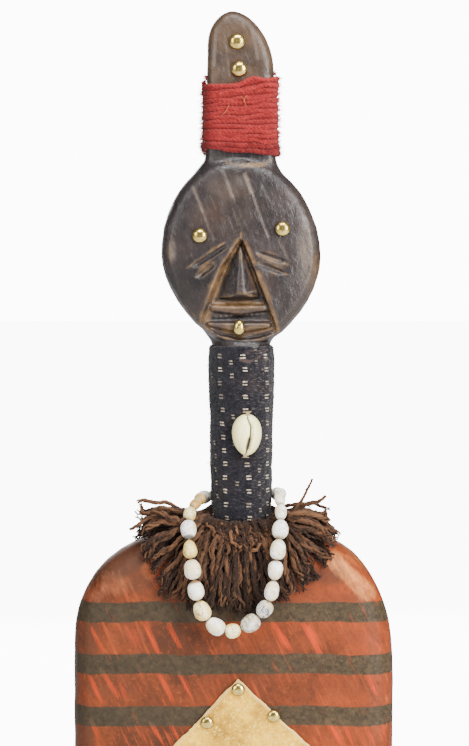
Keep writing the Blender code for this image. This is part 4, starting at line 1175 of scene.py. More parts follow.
def neck_radius(z):
    """The tapered neck's radius at a height."""
    share = min(1.0, max(0.0, (z - SHOULDER_Z) / NECK_LENGTH))
    return NECK_RADIUS_LOW + (NECK_RADIUS_HIGH - NECK_RADIUS_LOW) * share


CLOTH_THICKNESS = 0.0016
CLOTH_SWELL = ((0.0, 0.0), (0.25, 0.0002), (0.5, 0.0), (0.8, 0.0005), (0.93, 0.0003), (1.0, -0.0004))


def cloth_radius(z):
    """The cloth's outer radius at a height."""
    share = (z - CLOTH_HEM_Z) / (CLOTH_TOP_Z - CLOTH_HEM_Z)
    swell = float(np.interp(share, *zip(*CLOTH_SWELL)))
    return neck_radius(z) + 2 * GAP + CLOTH_THICKNESS + swell


# Where the cloth is rubbed brown or grey: column and row of both ends, half width in pixels, and strength
CLOTH_MARKS = (
    (240.5, 359.5, 249.5, 362, 2.0, 0.9), (250, 361, 264, 355.5, 0.8, 0.7), (246, 352, 268, 350, 2.5, 0.45),
    (256, 357, 270, 366, 3.5, 0.40), (262, 368, 268, 380, 4.0, 0.30),
)
CLOTH_HAIRS = 900
CLOTH_ROLL = 0.0007
CLOTH_ROLL_SHARE = 0.012
# The folds: their depth, and how often they come round the neck and up it
CLOTH_FOLDS = ((0.00065, 1.9, 75), (0.00034, 7, 300), (0.00018, 22, 900))


def rubbed_brown(x, z):
    """How much the cloth's front is rubbed at a place."""
    marks = line_marks(np.array([(x, z)]), CLOTH_MARKS)
    return max(0.0, *(strength * soft_step(1.5 - away[0]) for strength, away, _ in marks))


def neck_cloth(finish):
    """The cloth wrapped tight round the neck, with soft folds and a lapped edge."""
    around, rows = 230, 180
    inner_rows = 8
    points, flats, brown = [], [], []
    heights = [CLOTH_HEM_Z + (CLOTH_TOP_Z - CLOTH_HEM_Z) * k / rows for k in range(rows + 1)]
    for z in heights:
        share = (z - CLOTH_HEM_Z) / (CLOTH_TOP_Z - CLOTH_HEM_Z)
        low, high = smoothstep(share / CLOTH_ROLL_SHARE), smoothstep((1 - share) / CLOTH_ROLL_SHARE)
        rolled = CLOTH_ROLL * (1 - low) + CLOTH_ROLL * (1 - high)
        for k in range(around):
            turn = 2 * math.pi * k / around
            x, y = math.cos(turn), math.sin(turn)
            folds = sum(depth * ripple(x * often, y * often, z * up) for depth, often, up in CLOTH_FOLDS)
            lap = (turn / (2 * math.pi) * 360 - 292 - 60 * (share - 0.5)) / 10
            folds += 0.00045 * soft_step(lap) * (1 - soft_step(lap / 14))
            radius = cloth_radius(z) + folds - rolled
            points.append((NECK_SHIFT + radius * x, radius * y, z))
            flats.append((k / around, z))
            brown.append(rubbed_brown(NECK_SHIFT + radius * x, z) if y < 0 else 0.0)
    for row in range(inner_rows + 1):
        z = CLOTH_TOP_Z - (CLOTH_TOP_Z - CLOTH_HEM_Z) * row / inner_rows
        inset = 0.0002 if row in (0, inner_rows) else 0.0
        for k in range(around):
            turn = 2 * math.pi * k / around
            radius = neck_radius(z) + 2 * GAP - 0.0001 + inset
            points.append((NECK_SHIFT + radius * math.cos(turn), radius * math.sin(turn), z))
            flats.append((k / around, z))
            brown.append(0.0)
    faces = ring_faces(rows + inner_rows + 2, around, True)
    made = mesh_piece("neck_cloth_woven", points, faces, finish, ("neck_cloth",), {"brown": brown})
    layer = made.data.uv_layers.new(name="weave")
    for polygon in made.data.polygons:
        ring = [made.data.loops[i].vertex_index for i in polygon.loop_indices]
        wraps = max(flats[v][0] for v in ring) - min(flats[v][0] for v in ring) > 0.5
        for i, v in zip(polygon.loop_indices, ring):
            u, z = flats[v]
            layer.data[i].uv = (u + 1.0 if wraps and u < 0.5 else u, z)
    return made


COWRIE_LENGTH = 0.0250
COWRIE_WIDTH = 0.0178
COWRIE_DEPTH = 0.0085
COWRIE_Z = CLOTH_TOP_Z - 0.0530
COWRIE_X = NECK_SHIFT + 0.0034
COWRIE_SLIT = (
    (0.50, 0.02), (0.40, 0.05), (0.22, 0.26), (0.02, 0.24), (-0.20, 0.10), (-0.38, -0.02), (-0.50, -0.10),
)
COWRIE_TEETH_PITCH = 0.00112


def cowrie(finish, thread):
    """The cowrie: an egg-shaped dome, slit outwards, with teeth along both lips of the slit."""
    rings, around = 70, 150
    back = -(cloth_radius(COWRIE_Z) + 2 * GAP)
    points, slit, stain = [], [], []
    line = sorted((z, x) for z, x in COWRIE_SLIT)
    for ring in range(rings + 1):
        level = ring / rings
        lift = math.sin(level * math.pi / 2)
        shrink = math.cos(level * math.pi / 2) ** 0.78
        for k in range(around):
            turn = 2 * math.pi * k / around
            egg = 1 + 0.10 * math.sin(turn)
            x = COWRIE_WIDTH / 2 * math.cos(turn) * egg * shrink
            z = COWRIE_LENGTH / 2 * math.sin(turn) * shrink
            share = z / COWRIE_LENGTH
            off = x - float(np.interp(share, *zip(*line))) * COWRIE_WIDTH / 2
            width = 0.00036 + 0.00062 * soft_step((0.02 - share) / 0.14) * soft_step((share + 0.42) / 0.15)
            ends = 1 - soft_step((abs(share) - 0.42) / 0.08)
            groove = math.exp(-(off / width) ** 2)
            roll = math.exp(-(off / 0.0019) ** 2)
            comb = (0.5 + 0.5 * math.cos(2 * math.pi * z / COWRIE_TEETH_PITCH)) ** 1.6
            lip = soft_step(1.2 - abs(off - 0.00135) / 0.0010) * soft_step((0.40 - abs(share)) / 0.1)
            left_lip = soft_step(1 - abs(off + 0.0010) / 0.0007) * soft_step((0.36 - abs(share)) / 0.1)
            depth = ends * (0.0016 * groove + 0.0007 * roll) + 0.00032 * comb * (lip + 0.5 * left_lip)
            y = back - max(0.0, COWRIE_DEPTH * lift - depth * soft_step(level * 3))
            points.append((COWRIE_X + x, y, COWRIE_Z + z))
            slit.append(min(1.0, groove * 1.25 * ends) if level > 0.2 else 0.0)
            stain.append(min(1.0, comb * (0.85 * lip + 0.35 * left_lip)) if level > 0.2 else 0.0)
    faces = [*ring_faces(rings + 1, around), tuple(range(around - 1, -1, -1))]
    mesh_piece("cowrie", points, faces, finish, ("cowrie_shell",), {"slit": slit, "stain": stain})
    tubes = Tubes()
    picks = random.Random(3)
    for end, aside, reach in ((1, 0.0006, 0.0016), (-1, -0.0010, 0.0012)):
        foot = np.array((COWRIE_X + aside, back - 0.0004, COWRIE_Z + end * COWRIE_LENGTH / 2))
        for k in range(5):
            side = (k - 2) * 0.0006
            start = foot + (side, -0.0022, -end * 0.0012)
            middle = foot + (side * 0.6, -0.0026, end * 0.0006)
            last = foot + (side * 1.8 + picks.uniform(-0.0004, 0.0004), 0.0002, end * reach)
            path = catmull((start, middle, last), 6)
            tubes.add(path, np.full(len(path), 0.00032), 6, picks.random())
    return tubes.piece("cowrie_thread", thread)


# The necklace's joints between seeds, its knot and its seeds' diameters, as in the part's source
STRING_JOINTS = (
    (-0.0054, 0.0224, 0.3560), (-0.0147, 0.0151, 0.3556), (-0.0203, 0.0043, 0.3556),
    (-0.0203, -0.0078, 0.3556), (-0.0253, -0.0175, 0.3518), (-0.0270, -0.0262, 0.3452),
    (-0.0266, -0.0328, 0.3345), (-0.0254, -0.0348, 0.3232), (-0.0236, -0.0353, 0.3106),
    (-0.0212, -0.0350, 0.2982), (-0.0160, -0.0345, 0.2864), (-0.0053, -0.0340, 0.2795),
    (0.0047, -0.0340, 0.2809), (0.0151, -0.0345, 0.2882), (0.0214, -0.0350, 0.2979),
    (0.0241, -0.0353, 0.3104), (0.0257, -0.0348, 0.3224), (0.0274, -0.0328, 0.3350),
    (0.0285, -0.0262, 0.3455), (0.0283, -0.0175, 0.3533), (0.0278, -0.0078, 0.3590),
    (0.0290, 0.0038, 0.3582), (0.0245, 0.0147, 0.3572), (0.0152, 0.0222, 0.3564),
)
STRING_KNOT = (0.0048, 0.0252, 0.3558)
STRING_DIAMETER = 0.0010
BEAD_DIAMETERS = (
    8.2, 8.6, 7.8, 6.6, 7.8, 9.8, 9.0, 10.4, 10.1, 10.5, 10.4, 9.2,
    10.9, 10.0, 8.9, 9.3, 9.7, 10.1, 7.4, 6.8, 7.6, 8.4, 8.2,
)
CURVE_STEPS = 24
# Which seeds aren't plain white, and the fuller end of some: 1 towards the next seed, -1 towards the last
SEED_KINDS = {
    3: "tan", 4: "tan", 5: "cream", 6: "grey_tip", 7: "yellow", 9: "brown_tip", 10: "cream", 12: "cream",
    13: "marbled", 14: "marbled",
}
SEED_HOLE_RADIUS = 0.0011
SEED_FULLER = {7: 1, 9: 1, 15: -1, 17: -1, 10: 1, 19: 1}
SEED_WHITE = (0.970, 0.950, 0.890)
SEED_STAIN = (0.170, 0.130, 0.080)
# How each kind looks: its body, its stain, the noise level where stains begin, and its tip
SEED_LOOKS = {
    "white": (SEED_WHITE, SEED_STAIN, 0.56, SEED_WHITE),
    "cream": ((0.920, 0.800, 0.440), (0.20, 0.13, 0.055), 0.53, SEED_WHITE),
    "tan": ((0.520, 0.340, 0.110), (0.16, 0.085, 0.030), 0.50, SEED_WHITE),
    "yellow": ((0.820, 0.620, 0.180), (0.22, 0.13, 0.040), 0.49, SEED_WHITE),
    "grey_tip": ((0.86, 0.84, 0.78), (0.22, 0.20, 0.18), 0.54, (0.10, 0.09, 0.085)),
    "brown_tip": ((0.90, 0.87, 0.78), SEED_STAIN, 0.56, (0.24, 0.14, 0.06)),
    "marbled": ((0.70, 0.68, 0.64), (0.055, 0.050, 0.045), 0.47, SEED_WHITE),
}


def seed_mesh(number, centre, direction, length, diameter, finish):
    """A seed: an egg, cut flat at each end where the string goes through."""
    rings, around = 22, 28
    fuller = SEED_FULLER.get(number, 1 if number % 3 else -1) * (0.10 if number != 7 else 0.22)
    turned = direction.to_track_quat("Z", "Y")
    tip_at = -1 if number == 9 else 1
    tipped = SEED_KINDS.get(number) in ("grey_tip", "brown_tip")
    points, tip, rims = [], [], []
    for ring in range(rings + 1):
        level = -1 + 2 * ring / rings
        swell = max(0.0, 1 - abs(level) ** 2.35) ** 0.5
        grown = diameter / 2 * swell * (1 + fuller * level)
        radius = max(SEED_HOLE_RADIUS, grown / (1 + abs(fuller) * 0.35))
        reach = math.copysign(min(abs(level), 0.985), level)
        for k in range(around):
            angle = 2 * math.pi * k / around
            spin = Vector((math.cos(angle), math.sin(angle), level * 1.3))
            uneven = 1 + 0.035 * noise.noise(spin * 1.3 + Vector((number * 3.0, 0, 0)))
            x, y = math.cos(angle) * radius * uneven, math.sin(angle) * radius * uneven
            points.append(centre + turned @ Vector((x, y, reach * length / 2)))
            tip.append(soft_step((tip_at * level - 0.62) / 0.2) if tipped else 0.0)
            rims.append(0.7 * soft_step((abs(level) + 0.12 * noise.noise(spin * 3.1) - 0.84) / 0.14))
    ends = (range(around - 1, -1, -1), range(rings * around, (rings + 1) * around))
    faces = ring_faces(rings + 1, around) + [tuple(end) for end in ends]
    marks = {"tip": tip, "end": rims}
    return mesh_piece(f"seed_{number:02d}", points, faces, finish, (f"necklace_bead_{number:02d}",), marks)


def necklace(thread):
    """The seeds on their string, and the knot behind the neck."""
    kinds = {kind: seed(f"seed_{kind}", *look) for kind, look in SEED_LOOKS.items()}
    curve = catmull((STRING_KNOT, *STRING_JOINTS, STRING_KNOT), CURVE_STEPS)
    joints = [Vector(p) for p in curve[CURVE_STEPS:-1:CURVE_STEPS]]
    middles = [Vector(p) for p in curve[CURVE_STEPS + CURVE_STEPS // 2::CURVE_STEPS]]
    for i, diameter in enumerate(BEAD_DIAMETERS):
        chord = joints[i + 1] - joints[i]
        centre = (joints[i] + 2 * middles[i] + joints[i + 1]) / 4
        finish = kinds[SEED_KINDS.get(i + 1, "white")]
        length = chord.length - GAP
        seed_mesh(i + 1, centre, chord.normalized(), length, diameter / 1000, finish)
    path = resampled(curve, 160)[1:-1]
    data = bpy.data.curves.new("string", "CURVE")
    data.dimensions = "3D"
    spline = data.splines.new("POLY")
    spline.points.add(len(path) - 1)
    for point, where in zip(spline.points, path):
        point.co = (*where, 1)
    data.bevel_depth = STRING_DIAMETER / 2
    data.bevel_resolution = 2
    data.use_fill_caps = True
    data.materials.append(thread)
    string = settle(linked("string", data), ("necklace_string",))
    knot = np.array(STRING_KNOT)
    tubes = Tubes()
    turns = np.linspace(0, 2 * math.pi, 30)
    lying = np.stack((0.0011 * np.cos(turns), 0.0009 * np.sin(turns), 0.0009 * np.sin(2 * turns)), axis=1)
    tubes.add(knot + lying, np.full(30, 0.0005), 8, 0.5)
    for side in (-1, 1):
        bend = knot + (side * 0.0016, 0.0008, -0.0030)
        tail = catmull((knot, bend, knot + (side * 0.0030, 0.0004, -0.0075)), 8)
        tubes.add(tail, np.full(len(tail), 0.00045), 6, 0.4)
    knot_piece = tubes.piece("string_knot", thread)
    length = float(lengths_along(path)[-1])


# Where the fringe's strands end: degrees round the neck from its front, then x and z
FRINGE_ENDS = (
    (-96, -0.0600, 0.3400), (-84, -0.0580, 0.3330), (-72, -0.0545, 0.3240), (-58, -0.0500, 0.3130),
    (-44, -0.0420, 0.3000), (-30, -0.0290, 0.2960), (-14, -0.0120, 0.2880), (0, 0.0040, 0.2870),
    (14, 0.0175, 0.2880), (30, 0.0310, 0.2970), (44, 0.0400, 0.3010), (58, 0.0505, 0.3075),
    (72, 0.0580, 0.3210), (84, 0.0600, 0.3310), (96, 0.0610, 0.3400),
)
# The strands that lie on top: columns and rows of where each leaves the root, of its middle and of its end
TOP_STRANDS = (
    (205, 540, 204, 562, 206, 592), (214, 542, 210, 566, 213, 590), (222, 543, 219, 568, 221, 604),
    (231, 545, 236, 570, 240, 612), (236, 543, 240, 566, 239, 588), (248, 544, 251, 562, 257, 582),
    (262, 541, 268, 560, 271, 580), (197, 545, 192, 560, 190, 582), (188, 530, 170, 548, 154, 560),
    (190, 535, 174, 560, 163, 588), (193, 540, 182, 570, 174, 600), (182, 528, 160, 540, 147, 556),
    (197, 548, 188, 575, 184, 604), (284, 540, 293, 560, 307, 578), (288, 535, 302, 553, 315, 570),
    (282, 545, 287, 570, 294, 592), (290, 528, 310, 545, 324, 562), (279, 550, 281, 575, 286, 598),
    (272, 545, 277, 562, 276, 590), (226, 560, 228, 580, 229, 606), (244, 560, 247, 582, 250, 600),
    (186, 526, 158, 535, 141, 548), (204, 556, 199, 580, 196, 602), (292, 530, 316, 536, 334, 548),
    (290, 524, 313, 530, 336, 541), (292, 520, 315, 524, 332, 533), (294, 534, 312, 546, 333, 555),
    (292, 515, 310, 516, 327, 524), (178, 522, 160, 520, 143, 530), (182, 520, 166, 512, 150, 512),
)
# The matted layers under them: depth, clumps, strands in each, radius and the darkest tone, which is low as
# painted shade under the top strands
UNDER_LAYERS = ((0.0002, 26, 3, 0.00115, -1.0), (0.0018, 20, 2, 0.00120, -0.6))
# Stray ends at the sides, in metres: radius, waviness, then the route
STRAY_ENDS = (
    (0.0011, 1.0, (-0.030, -0.016, 0.3480), (-0.044, -0.018, 0.3520), (-0.0545, -0.019, 0.3490),
     (-0.0560, -0.019, 0.3560)),
    (0.0011, 1.0, (-0.040, -0.017, 0.3440), (-0.053, -0.019, 0.3445), (-0.0590, -0.020, 0.3400),
     (-0.0638, -0.020, 0.3372)),
    (0.0008, 0.25, (0.0325, -0.017, 0.3425), (0.0375, -0.019, 0.3520), (0.0430, -0.019, 0.3605),
     (0.0478, -0.019, 0.3690)),
    (0.0011, 1.0, (0.036, -0.015, 0.3440), (0.0440, -0.018, 0.3530), (0.0510, -0.019, 0.3540),
     (0.0560, -0.019, 0.3580)),
    (0.0011, 1.0, (0.038, -0.015, 0.3440), (0.0500, -0.019, 0.3470), (0.0545, -0.020, 0.3510),
     (0.0530, -0.020, 0.3430)),
    (0.0011, 1.0, (0.040, -0.016, 0.3400), (0.0520, -0.020, 0.3400), (0.0590, -0.020, 0.3385),
     (0.0622, -0.020, 0.3345)),
)
# The waves of a strand: how often they come at each point, and how far they reach
STRAND_WAVES = ((0.09, 0.0042), (0.32, 0.0019), (0.90, 0.0006))
STRAND_STEP = 0.0021
TOP_STRAND_DEPTH = 0.0252
FRINGE_ROOT_RADIUS = 0.0200
FRINGE_ROOT_Z = 0.3420
FRINGE_BACK_RISE = 0.0075
ROOT_TANGLES = 150
SIDE_TUFTS = 11
BELT_WRAPS = 5
BACK_STRANDS = 64


def strand_root(degrees, radius):
    """A place on the belt, round the neck from its front."""
    turn = math.radians(degrees)
    rise = FRINGE_BACK_RISE * (1 - math.cos(turn)) / 2
    return np.array((NECK_SHIFT + radius * math.sin(turn), -radius * math.cos(turn), FRINGE_ROOT_Z + rise))


def kept_clear(path, surface, room, seeds):
    """A path moved out of the wood and out of the seeds."""
    clear = path.copy()
    for k, point in enumerate(path):
        where, normal, *_ = surface.find_nearest(Vector(point))
        if (Vector(point) - where).dot(normal) < room:
            clear[k] = np.array(where + normal * room)
    for centre, radius in seeds:
        off = clear - centre
        distance = np.linalg.norm(off, axis=1)
        inside = distance < radius + room
        if inside.any():
            push = off[inside] / distance[inside][:, None]
            push[:, 1] = np.abs(push[:, 1]) + 0.6
            push /= np.linalg.norm(push, axis=1)[:, None]
            clear[inside] = centre + push * (radius + room)
    return clear


def cloth_fuzz(finish):
    """Loose thread ends over the cloth."""
    picks = random.Random(5)
    tubes = Tubes()
    for _ in range(CLOTH_HAIRS):
        turn = picks.uniform(0, 2 * math.pi)
        z = picks.uniform(CLOTH_HEM_Z + 0.001, CLOTH_TOP_Z - 0.001)
        outward = np.array((math.cos(turn), math.sin(turn), 0.0))
        base = np.array((NECK_SHIFT, 0.0, z)) + outward * cloth_radius(z)
        lean = unit(outward * 0.7 + jitter(picks, 0.7))
        hair = bent_hair(picks, base, lean, picks.uniform(0.0008, 0.0026), 0.7)
        tubes.add(hair, (0.00011, 0.00009, 0.00003), 3, picks.uniform(0.0, 1.0))
    return tubes.piece("cloth_fuzz", finish)


def add_strand(tubes, picks, surface, seeds, route, radius, tone, waves=1.0, frayed=0.55):
    """One matted strand of two or three plies along a route, wavy and lumpy, and frayed at its end."""
    count = max(10, int(lengths_along(catmull(route, 4))[-1] / STRAND_STEP))
    path = resampled(catmull(route, 8), count)
    key = picks.uniform(0, 90)
    wave = np.zeros((count, 3))
    for step, reach in STRAND_WAVES:
        for way in range(3):
            wave[:, way] += [reach * ripple(k * step, key, way * 7.3 + step) for k in range(count)]
    path = path + waves * wave * np.sqrt(np.linspace(0, 1, count))[:, None]
    path = kept_clear(path, surface, radius * 1.4, seeds)
    fray = smoothstep((np.linspace(0, 1, count) - 0.80) / 0.20)
    pitch = picks.uniform(0.0085, 0.0170) * picks.choice((-1, 1))
    phase = picks.uniform(0, 6)
    plies = picks.choice((2, 3))
    for ply in range(plies):
        own = key + ply * 5.0
        lumps = np.array([1 + 0.36 * ripple(k * 0.45, own, 2.0) + 0.30 * ripple(k * 1.3, own, 6.0)
                          for k in range(count)])
        offset = radius * (0.50 + picks.uniform(0.7, 1.8) * fray * frayed)
        strand = twisted(path, offset, pitch, phase + 2 * math.pi * ply / plies)
        tubes.add(strand, radius * lumps * (0.78 - 0.42 * fray), 5, tone + 0.12 * ply)
    first = picks.randrange(max(1, count - 8))
    last = min(count, first + picks.randrange(6, 12))
    lift = np.sin(np.linspace(0.2, 2.6, last - first))[:, None]
    aside = np.array((picks.gauss(0, 0.8), -1.0, picks.gauss(0, 0.4))) * radius * 1.25
    thickness = picks.uniform(0.00016, 0.00030)
    hair = path[first:last] + lift * aside
    tubes.add(hair, np.full(last - first, thickness), 3, tone + picks.uniform(0.2, 0.8))


def spread_from_neck(root):
    """The way out from the neck at a place on the belt, for a short stretch."""
    return np.array((root[0] - NECK_SHIFT, root[1], 0)) * 0.16


def under_strand(picks, turn, end_turn, layer, length):
    """The route of a strand of the matted layers, from the belt to the fringe's edge."""
    degrees, ends_x, ends_z = zip(*FRINGE_ENDS)
    x = np.interp(end_turn, degrees, ends_x) + picks.gauss(0, 0.0010)
    z = np.interp(end_turn, degrees, ends_z) + picks.gauss(0, 0.0020)
    root = strand_root(turn, FRINGE_ROOT_RADIUS + layer * 0.4)
    side = smoothstep((abs(end_turn) - 62) / 34)
    depth = -(BOARD_FACE + 0.0012 + layer) * (1 - side) + -0.012 * side
    end = np.array((x, depth, z))
    out = root + spread_from_neck(root) + (0, 0, -0.0015 + layer * 0.6)
    middle = out * 0.45 + end * 0.55 + (0, -0.0010 - layer * 0.5, 0.0030 * (1 + side))
    return root, out, middle, middle + (end - middle) * length


def fringe(finish, surface):
    """The brown fibre fringe: a belt, and twisted strands that fan over both faces and the shoulders."""
    picks = random.Random(11)
    tubes = Tubes()
    seeds = []
    for number, diameter in enumerate(BEAD_DIAMETERS, 1):
        low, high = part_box(f"necklace_bead_{number:02d}")
        seeds.append((np.array((low + high) / 2), diameter / 2000))

    def strand(*route_and_look):
        add_strand(tubes, picks, surface, seeds, *route_and_look)

    # The matted layers are given dark tones: painted shade under the top strands
    for layer, clumps, strands, radius, tone_from in UNDER_LAYERS:
        for clump in range(clumps):
            centre = -92 + 184 * (clump + picks.uniform(0.1, 0.9)) / clumps
            reach = picks.uniform(0.78, 1.08)
            tone = tone_from + picks.uniform(0.0, 0.55)
            for _ in range(strands):
                turn = centre + picks.uniform(-1.0, 1.0) * 184 / clumps
                end_turn = centre + picks.gauss(0, 1.4)
                length = reach * picks.uniform(0.92, 1.06)
                thick = radius * picks.uniform(0.65, 1.25)
                own_tone = tone + picks.uniform(-0.15, 0.15)
                strand(under_strand(picks, turn, end_turn, layer, length), thick, own_tone)
    for places in TOP_STRANDS:
        away = max(-1.0, min(1.0, (spot(*places[:2])[0] - NECK_SHIFT) / 0.030))
        route = [strand_root(math.degrees(math.asin(away)) * 0.9, FRINGE_ROOT_RADIUS)]
        for step in range(3):
            column, row = places[2 * step:2 * step + 2]
            route.append(placed(column + picks.gauss(0, 0.8), row, 0.0010 * step - TOP_STRAND_DEPTH))
        tone = picks.uniform(0.05, 0.60)
        strand(route, picks.uniform(0.00120, 0.00155), tone, picks.uniform(0.7, 1.3))
        aside = [point + np.array((picks.gauss(0, 0.0012), 0.0008, 0.0)) for point in route]
        strand(aside, 0.0008, tone - 0.3, 1.4)
    for _ in range(ROOT_TANGLES):
        turn = picks.uniform(-72, 72)
        drop = picks.uniform(0.0, 0.0110)
        heading = math.radians(picks.gauss(0, 48))
        radius = FRINGE_ROOT_RADIUS + 0.0042 + 0.20 * drop + picks.uniform(0, 0.0012)
        reach = picks.uniform(0.0045, 0.0080)
        across = math.degrees(reach * math.sin(heading) / radius)
        down = reach * math.cos(heading)
        route = []
        for share in (0.0, 0.35, 0.7, 1.0):
            here = strand_root(turn + across * share, radius + 0.0006 * math.sin(3.1 * share))
            route.append(here + (0, 0, -drop - down * share))
        strand(route, picks.uniform(0.00050, 0.00095), picks.uniform(-0.5, 0.75), 1.5)
    for side, least, most in ((-1, 0.046, 0.0625), (1, 0.044, 0.0605)):
        for _ in range(SIDE_TUFTS):
            root = strand_root(side * picks.uniform(70, 104), FRINGE_ROOT_RADIUS)
            reach = picks.uniform(least, most)
            rise = picks.uniform(-0.004, 0.013)
            depth = picks.uniform(-0.019, 0.004)
            middle = np.array((side * reach * 0.66, depth * 0.7, 0.3455 + rise * 0.5))
            late = np.array((side * reach * 0.90, depth, 0.3400 + rise))
            curl = picks.uniform(-0.004, 0.005)
            end_x = side * (reach + picks.uniform(-0.004, 0.0015))
            end = np.array((end_x, depth - 0.002, 0.3385 + rise + curl))
            strand((root, middle, late, end), picks.uniform(0.0009, 0.0013), picks.uniform(-0.3, 0.5),
                   picks.uniform(0.9, 1.7), 0.25)
    for radius, waves, *route in STRAY_ENDS:
        strand([np.array(p) for p in route], radius, 0.25, waves, 0.15)
    for wrap in range(BELT_WRAPS):
        radius = FRINGE_ROOT_RADIUS - 0.0006 + 0.0006 * (wrap % 2)
        ring = [strand_root(360 * k / 60, radius) + (0, 0, -0.0016 * wrap) for k in range(61)]
        path = resampled(np.array(ring), 150)
        for ply in range(2):
            tubes.add(twisted(path, np.full(150, 0.0006), 0.006, math.pi * ply), np.full(150, 0.0009), 5, 0.1)
    tubes.piece("fringe_front", finish, ("fringe",))
    tubes = Tubes()
    for k in range(BACK_STRANDS):
        turn = 90 + 180 * (k + picks.uniform(0.1, 0.9)) / BACK_STRANDS
        root = strand_root(turn, FRINGE_ROOT_RADIUS + 0.0006)
        across = math.sin(math.radians(turn))
        back = max(0.0, -math.cos(math.radians(turn)))
        x = 0.001 + 0.060 * math.copysign(abs(across) ** 1.15, across) + picks.gauss(0, 0.0015)
        z = 0.3390 - 0.048 * back ** 0.8 + picks.gauss(0, 0.0020)
        end = np.array((x, BOARD_FACE * min(1.0, back * 2.2) + 0.0016 + picks.uniform(0, 0.0022), z))
        out = root + spread_from_neck(root)
        middle = out * 0.45 + end * 0.55 + (0, 0.0020 * back, 0.0035)
        strand((root, out, middle, end), 0.00115, picks.uniform(-0.3, 0.5))
    return tubes.piece("fringe_back", finish, ("fringe",))


PATCH_CENTRE = (0.0045, 0.1800)
PATCH_CORNERS = ((-0.0018, 0.0680), (0.0690, 0.0010), (0.0, -0.0680), (-0.0670, -0.0005))
PATCH_THICKNESS = 0.0012


def hide_patch(finish):
    """The hide diamond: hand-cut edges, cockled between its tacks."""
    count = 96
    corners = [np.array(corner) + PATCH_CENTRE for corner in PATCH_CORNERS]
    back = -(BOARD_FACE + GAP)
    points, faces, wear = [], [], []
    for layer in (0, 1):
        for row in range(count + 1):
            for column in range(count + 1):
                s, t = column / count, row / count
                upper = corners[0] * (1 - s) + corners[1] * s
                lower = corners[3] * (1 - s) + corners[2] * s
                flat = upper * (1 - t) + lower * t
                rim = min(s, 1 - s, t, 1 - t)
                away = flat - np.array(PATCH_CENTRE)
                ragged = ripple(flat[0] * 160, flat[1] * 160, 0.5) * 0.0007
                ragged += ripple(flat[0] * 520, flat[1] * 520, 2.5) * 0.0003
                bow = 0.012 * math.sin(math.pi * s) * math.sin(math.pi * t) + 0.010
                flat = flat + away * bow * (1 - soft_step(rim / 0.03))
                outward = away / (np.linalg.norm(away) + 1e-9)
                flat = flat + outward * ragged * (1 - soft_step(rim / 0.05))
                cockle = 0.00035 * (0.5 + ripple(flat[0] * 75, 1.0, flat[1] * 75))
                cockle += 0.00030 * (1 - soft_step(rim / 0.04))
                thin = 1 - 0.5 * (1 - soft_step(rim / 0.012))
                points.append((flat[0], back - layer * PATCH_THICKNESS * thin - cockle, flat[1]))
                wear.append((1 - soft_step(rim / 0.02)) * layer)
    size = (count + 1) ** 2
    for row in range(count):
        for column in range(count):
            a = row * (count + 1) + column
            quad = (a, a + 1, a + count + 2, a + count + 1)
            faces.append(quad)
            faces.append(tuple(size + v for v in reversed(quad)))
    border = [k for k in range(count)] + [count + k * (count + 1) for k in range(count)]
    border += [size - 1 - k for k in border]
    for a, b in zip(border, border[1:] + border[:1]):
        faces.append((b, a, a + size, b + size))
    return faces_outwards(mesh_piece("hide", points, faces, finish, ("hide_patch",), {"wear": wear}))


TACK_NODES = ("crest_tack_1", "crest_tack_2", "eye_tack_left", "eye_tack_right", "mouth_tack",
              *(f"patch_tack_{number:02d}" for number in range(1, 13)))


def tack(node, number, finish):
    """A domed brass head over the CAD's, with a thin rim and small dents."""
    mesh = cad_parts[node].data
    mesh.calc_loop_triangles()
    weights = {}
    for triangle in mesh.loop_triangles:
        key = tuple(round(c, 2) for c in triangle.normal)
        weights[key] = weights.get(key, 0) + triangle.area
    outward = -Vector(max(weights, key=weights.get)).normalized()
    corners = [vertex.co.copy() for vertex in mesh.vertices]
    level = min(corner.dot(outward) for corner in corners)
    base = [corner for corner in corners if corner.dot(outward) < level + 0.0002]
    centre = sum(base, Vector()) / len(base)
    height = max(corner.dot(outward) for corner in corners) - level
    up = (Vector((0, 0, 1)) - outward * outward.z).normalized()
    across = up.cross(outward)
    radius_up = max(abs((corner - centre).dot(up)) for corner in base)
    radius_across = max(abs((corner - centre).dot(across)) for corner in base)
    rings, around = 16, 40
    points = []
    for ring in range(rings + 1):
        level = ring / rings
        size = math.cos(level * math.pi / 2) ** 0.92 if ring < rings else 0.0
        rise = math.sin(level * math.pi / 2) * 0.93 + 0.07 if ring else 0.0
        for k in range(around):
            turn = 2 * math.pi * k / around
            right, high = math.cos(turn), math.sin(turn)
            dent = 1 + 0.025 * ripple(right * 1.4, high * 1.4, number * 5 + level)
            here = centre + across * (radius_across * size * right) + up * (radius_up * size * high)
            points.append(here + outward * (height * rise * dent))
    faces = [*ring_faces(rings + 1, around), tuple(range(around - 1, -1, -1))]
    return faces_outwards(mesh_piece(f"brass_{node}", points, faces, finish, (node,)), merged=True)


# Camera, light and floor

def aimed(made, target):
    """Turns a camera or light towards a place."""
    made.rotation_euler = (Vector(target) - made.location).to_track_quat("-Z", "Y").to_euler()


BACKDROP = 12.0
STUDIO_FILL = 0.32
FLOOR_GLOW = 10.0
LENS_MM = 128.90352816
SENSOR_MM = 36
FLOOR_REACH = 12.0
# Each softbox: where it is, its width and height, and its watts
SOFTBOXES = {
    "left_softbox": ((-1.15, -1.30, 0.95), (0.6, 1.1), 20),
    "right_softbox": ((1.20, -1.35, 0.85), (0.6, 1.1), 74),
    "top_softbox": ((0.15, -0.85, 1.75), (1.1, 0.6), 46),
    "back_softbox": ((-0.2, 1.8, 0.7), (1.4, 1.0), 26),
}


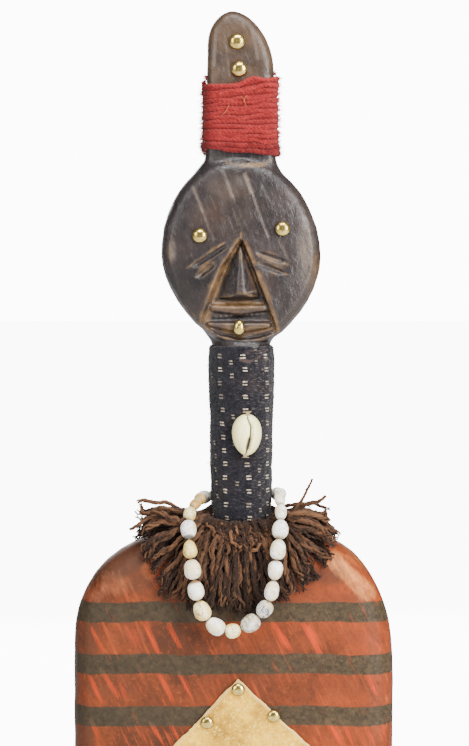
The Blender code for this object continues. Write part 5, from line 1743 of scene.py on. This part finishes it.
def stage():
    """The camera at the photograph's angle, four softboxes, a white backdrop and a pale floor."""
    lens = bpy.data.cameras.new("camera")
    lens.lens = LENS_MM
    lens.sensor_width = SENSOR_MM
    camera = linked("camera", lens)
    camera.location = EYE
    aimed(camera, AIM)
    bpy.context.scene.camera = camera
    for name, (where, size, power) in SOFTBOXES.items():
        light = bpy.data.lights.new(name, "AREA")
        light.shape = "RECTANGLE"
        light.size, light.size_y = size
        light.energy = power
        lamp = linked(name, light)
        lamp.location = where
        aimed(lamp, (0, 0, 0.40))
    world = bpy.data.worlds.new("studio")
    world.use_nodes = True
    tree = world.node_tree
    seen = add(tree, "LightPath", {}, {}).outputs["Is Camera Ray"]
    strength = plus(tree, times(tree, seen, BACKDROP - STUDIO_FILL), STUDIO_FILL)
    tree.nodes["Background"].inputs["Color"].default_value = (1.0, 1.0, 1.0, 1.0)
    tree.links.new(strength, tree.nodes["Background"].inputs["Strength"])
    bpy.context.scene.world = world
    floor = bpy.data.meshes.new("floor")
    corners = [(x * FLOOR_REACH, y * FLOOR_REACH, 0) for x, y in ((-1, -1), (1, -1), (1, 1), (-1, 1))]
    floor.from_pydata(corners, [], [(0, 1, 2, 3)])
    floor.materials.append(floor_material())
    linked("floor", floor)


def surface_of(pieces):
    """A search tree over some pieces' faces."""
    points, faces = [], []
    for piece in pieces:
        start = len(points)
        points += [vertex.co.copy() for vertex in piece.data.vertices]
        faces += [tuple(start + v for v in polygon.vertices) for polygon in piece.data.polygons]
    return BVHTree.FromPolygons(points, faces)


stage()
thread = thread_material()
necklace(thread)
wood = carved_wood()
head(wood)
doll_board = board(painted_wood(), wood)
yarn(strand_material("red_yarn"))
loose_threads(strand_material("yarn_lint"))
neck_cloth(indigo_cloth())
cloth_fuzz(strand_material("indigo_lint"))
cowrie(shell(), thread)
fringe(strand_material("brown_fibre"), surface_of([doll_board]))
hide_patch(hide_leather())
brass_finish = brass()
for order, node_name in enumerate(TACK_NODES):
    tack(node_name, order, brass_finish)
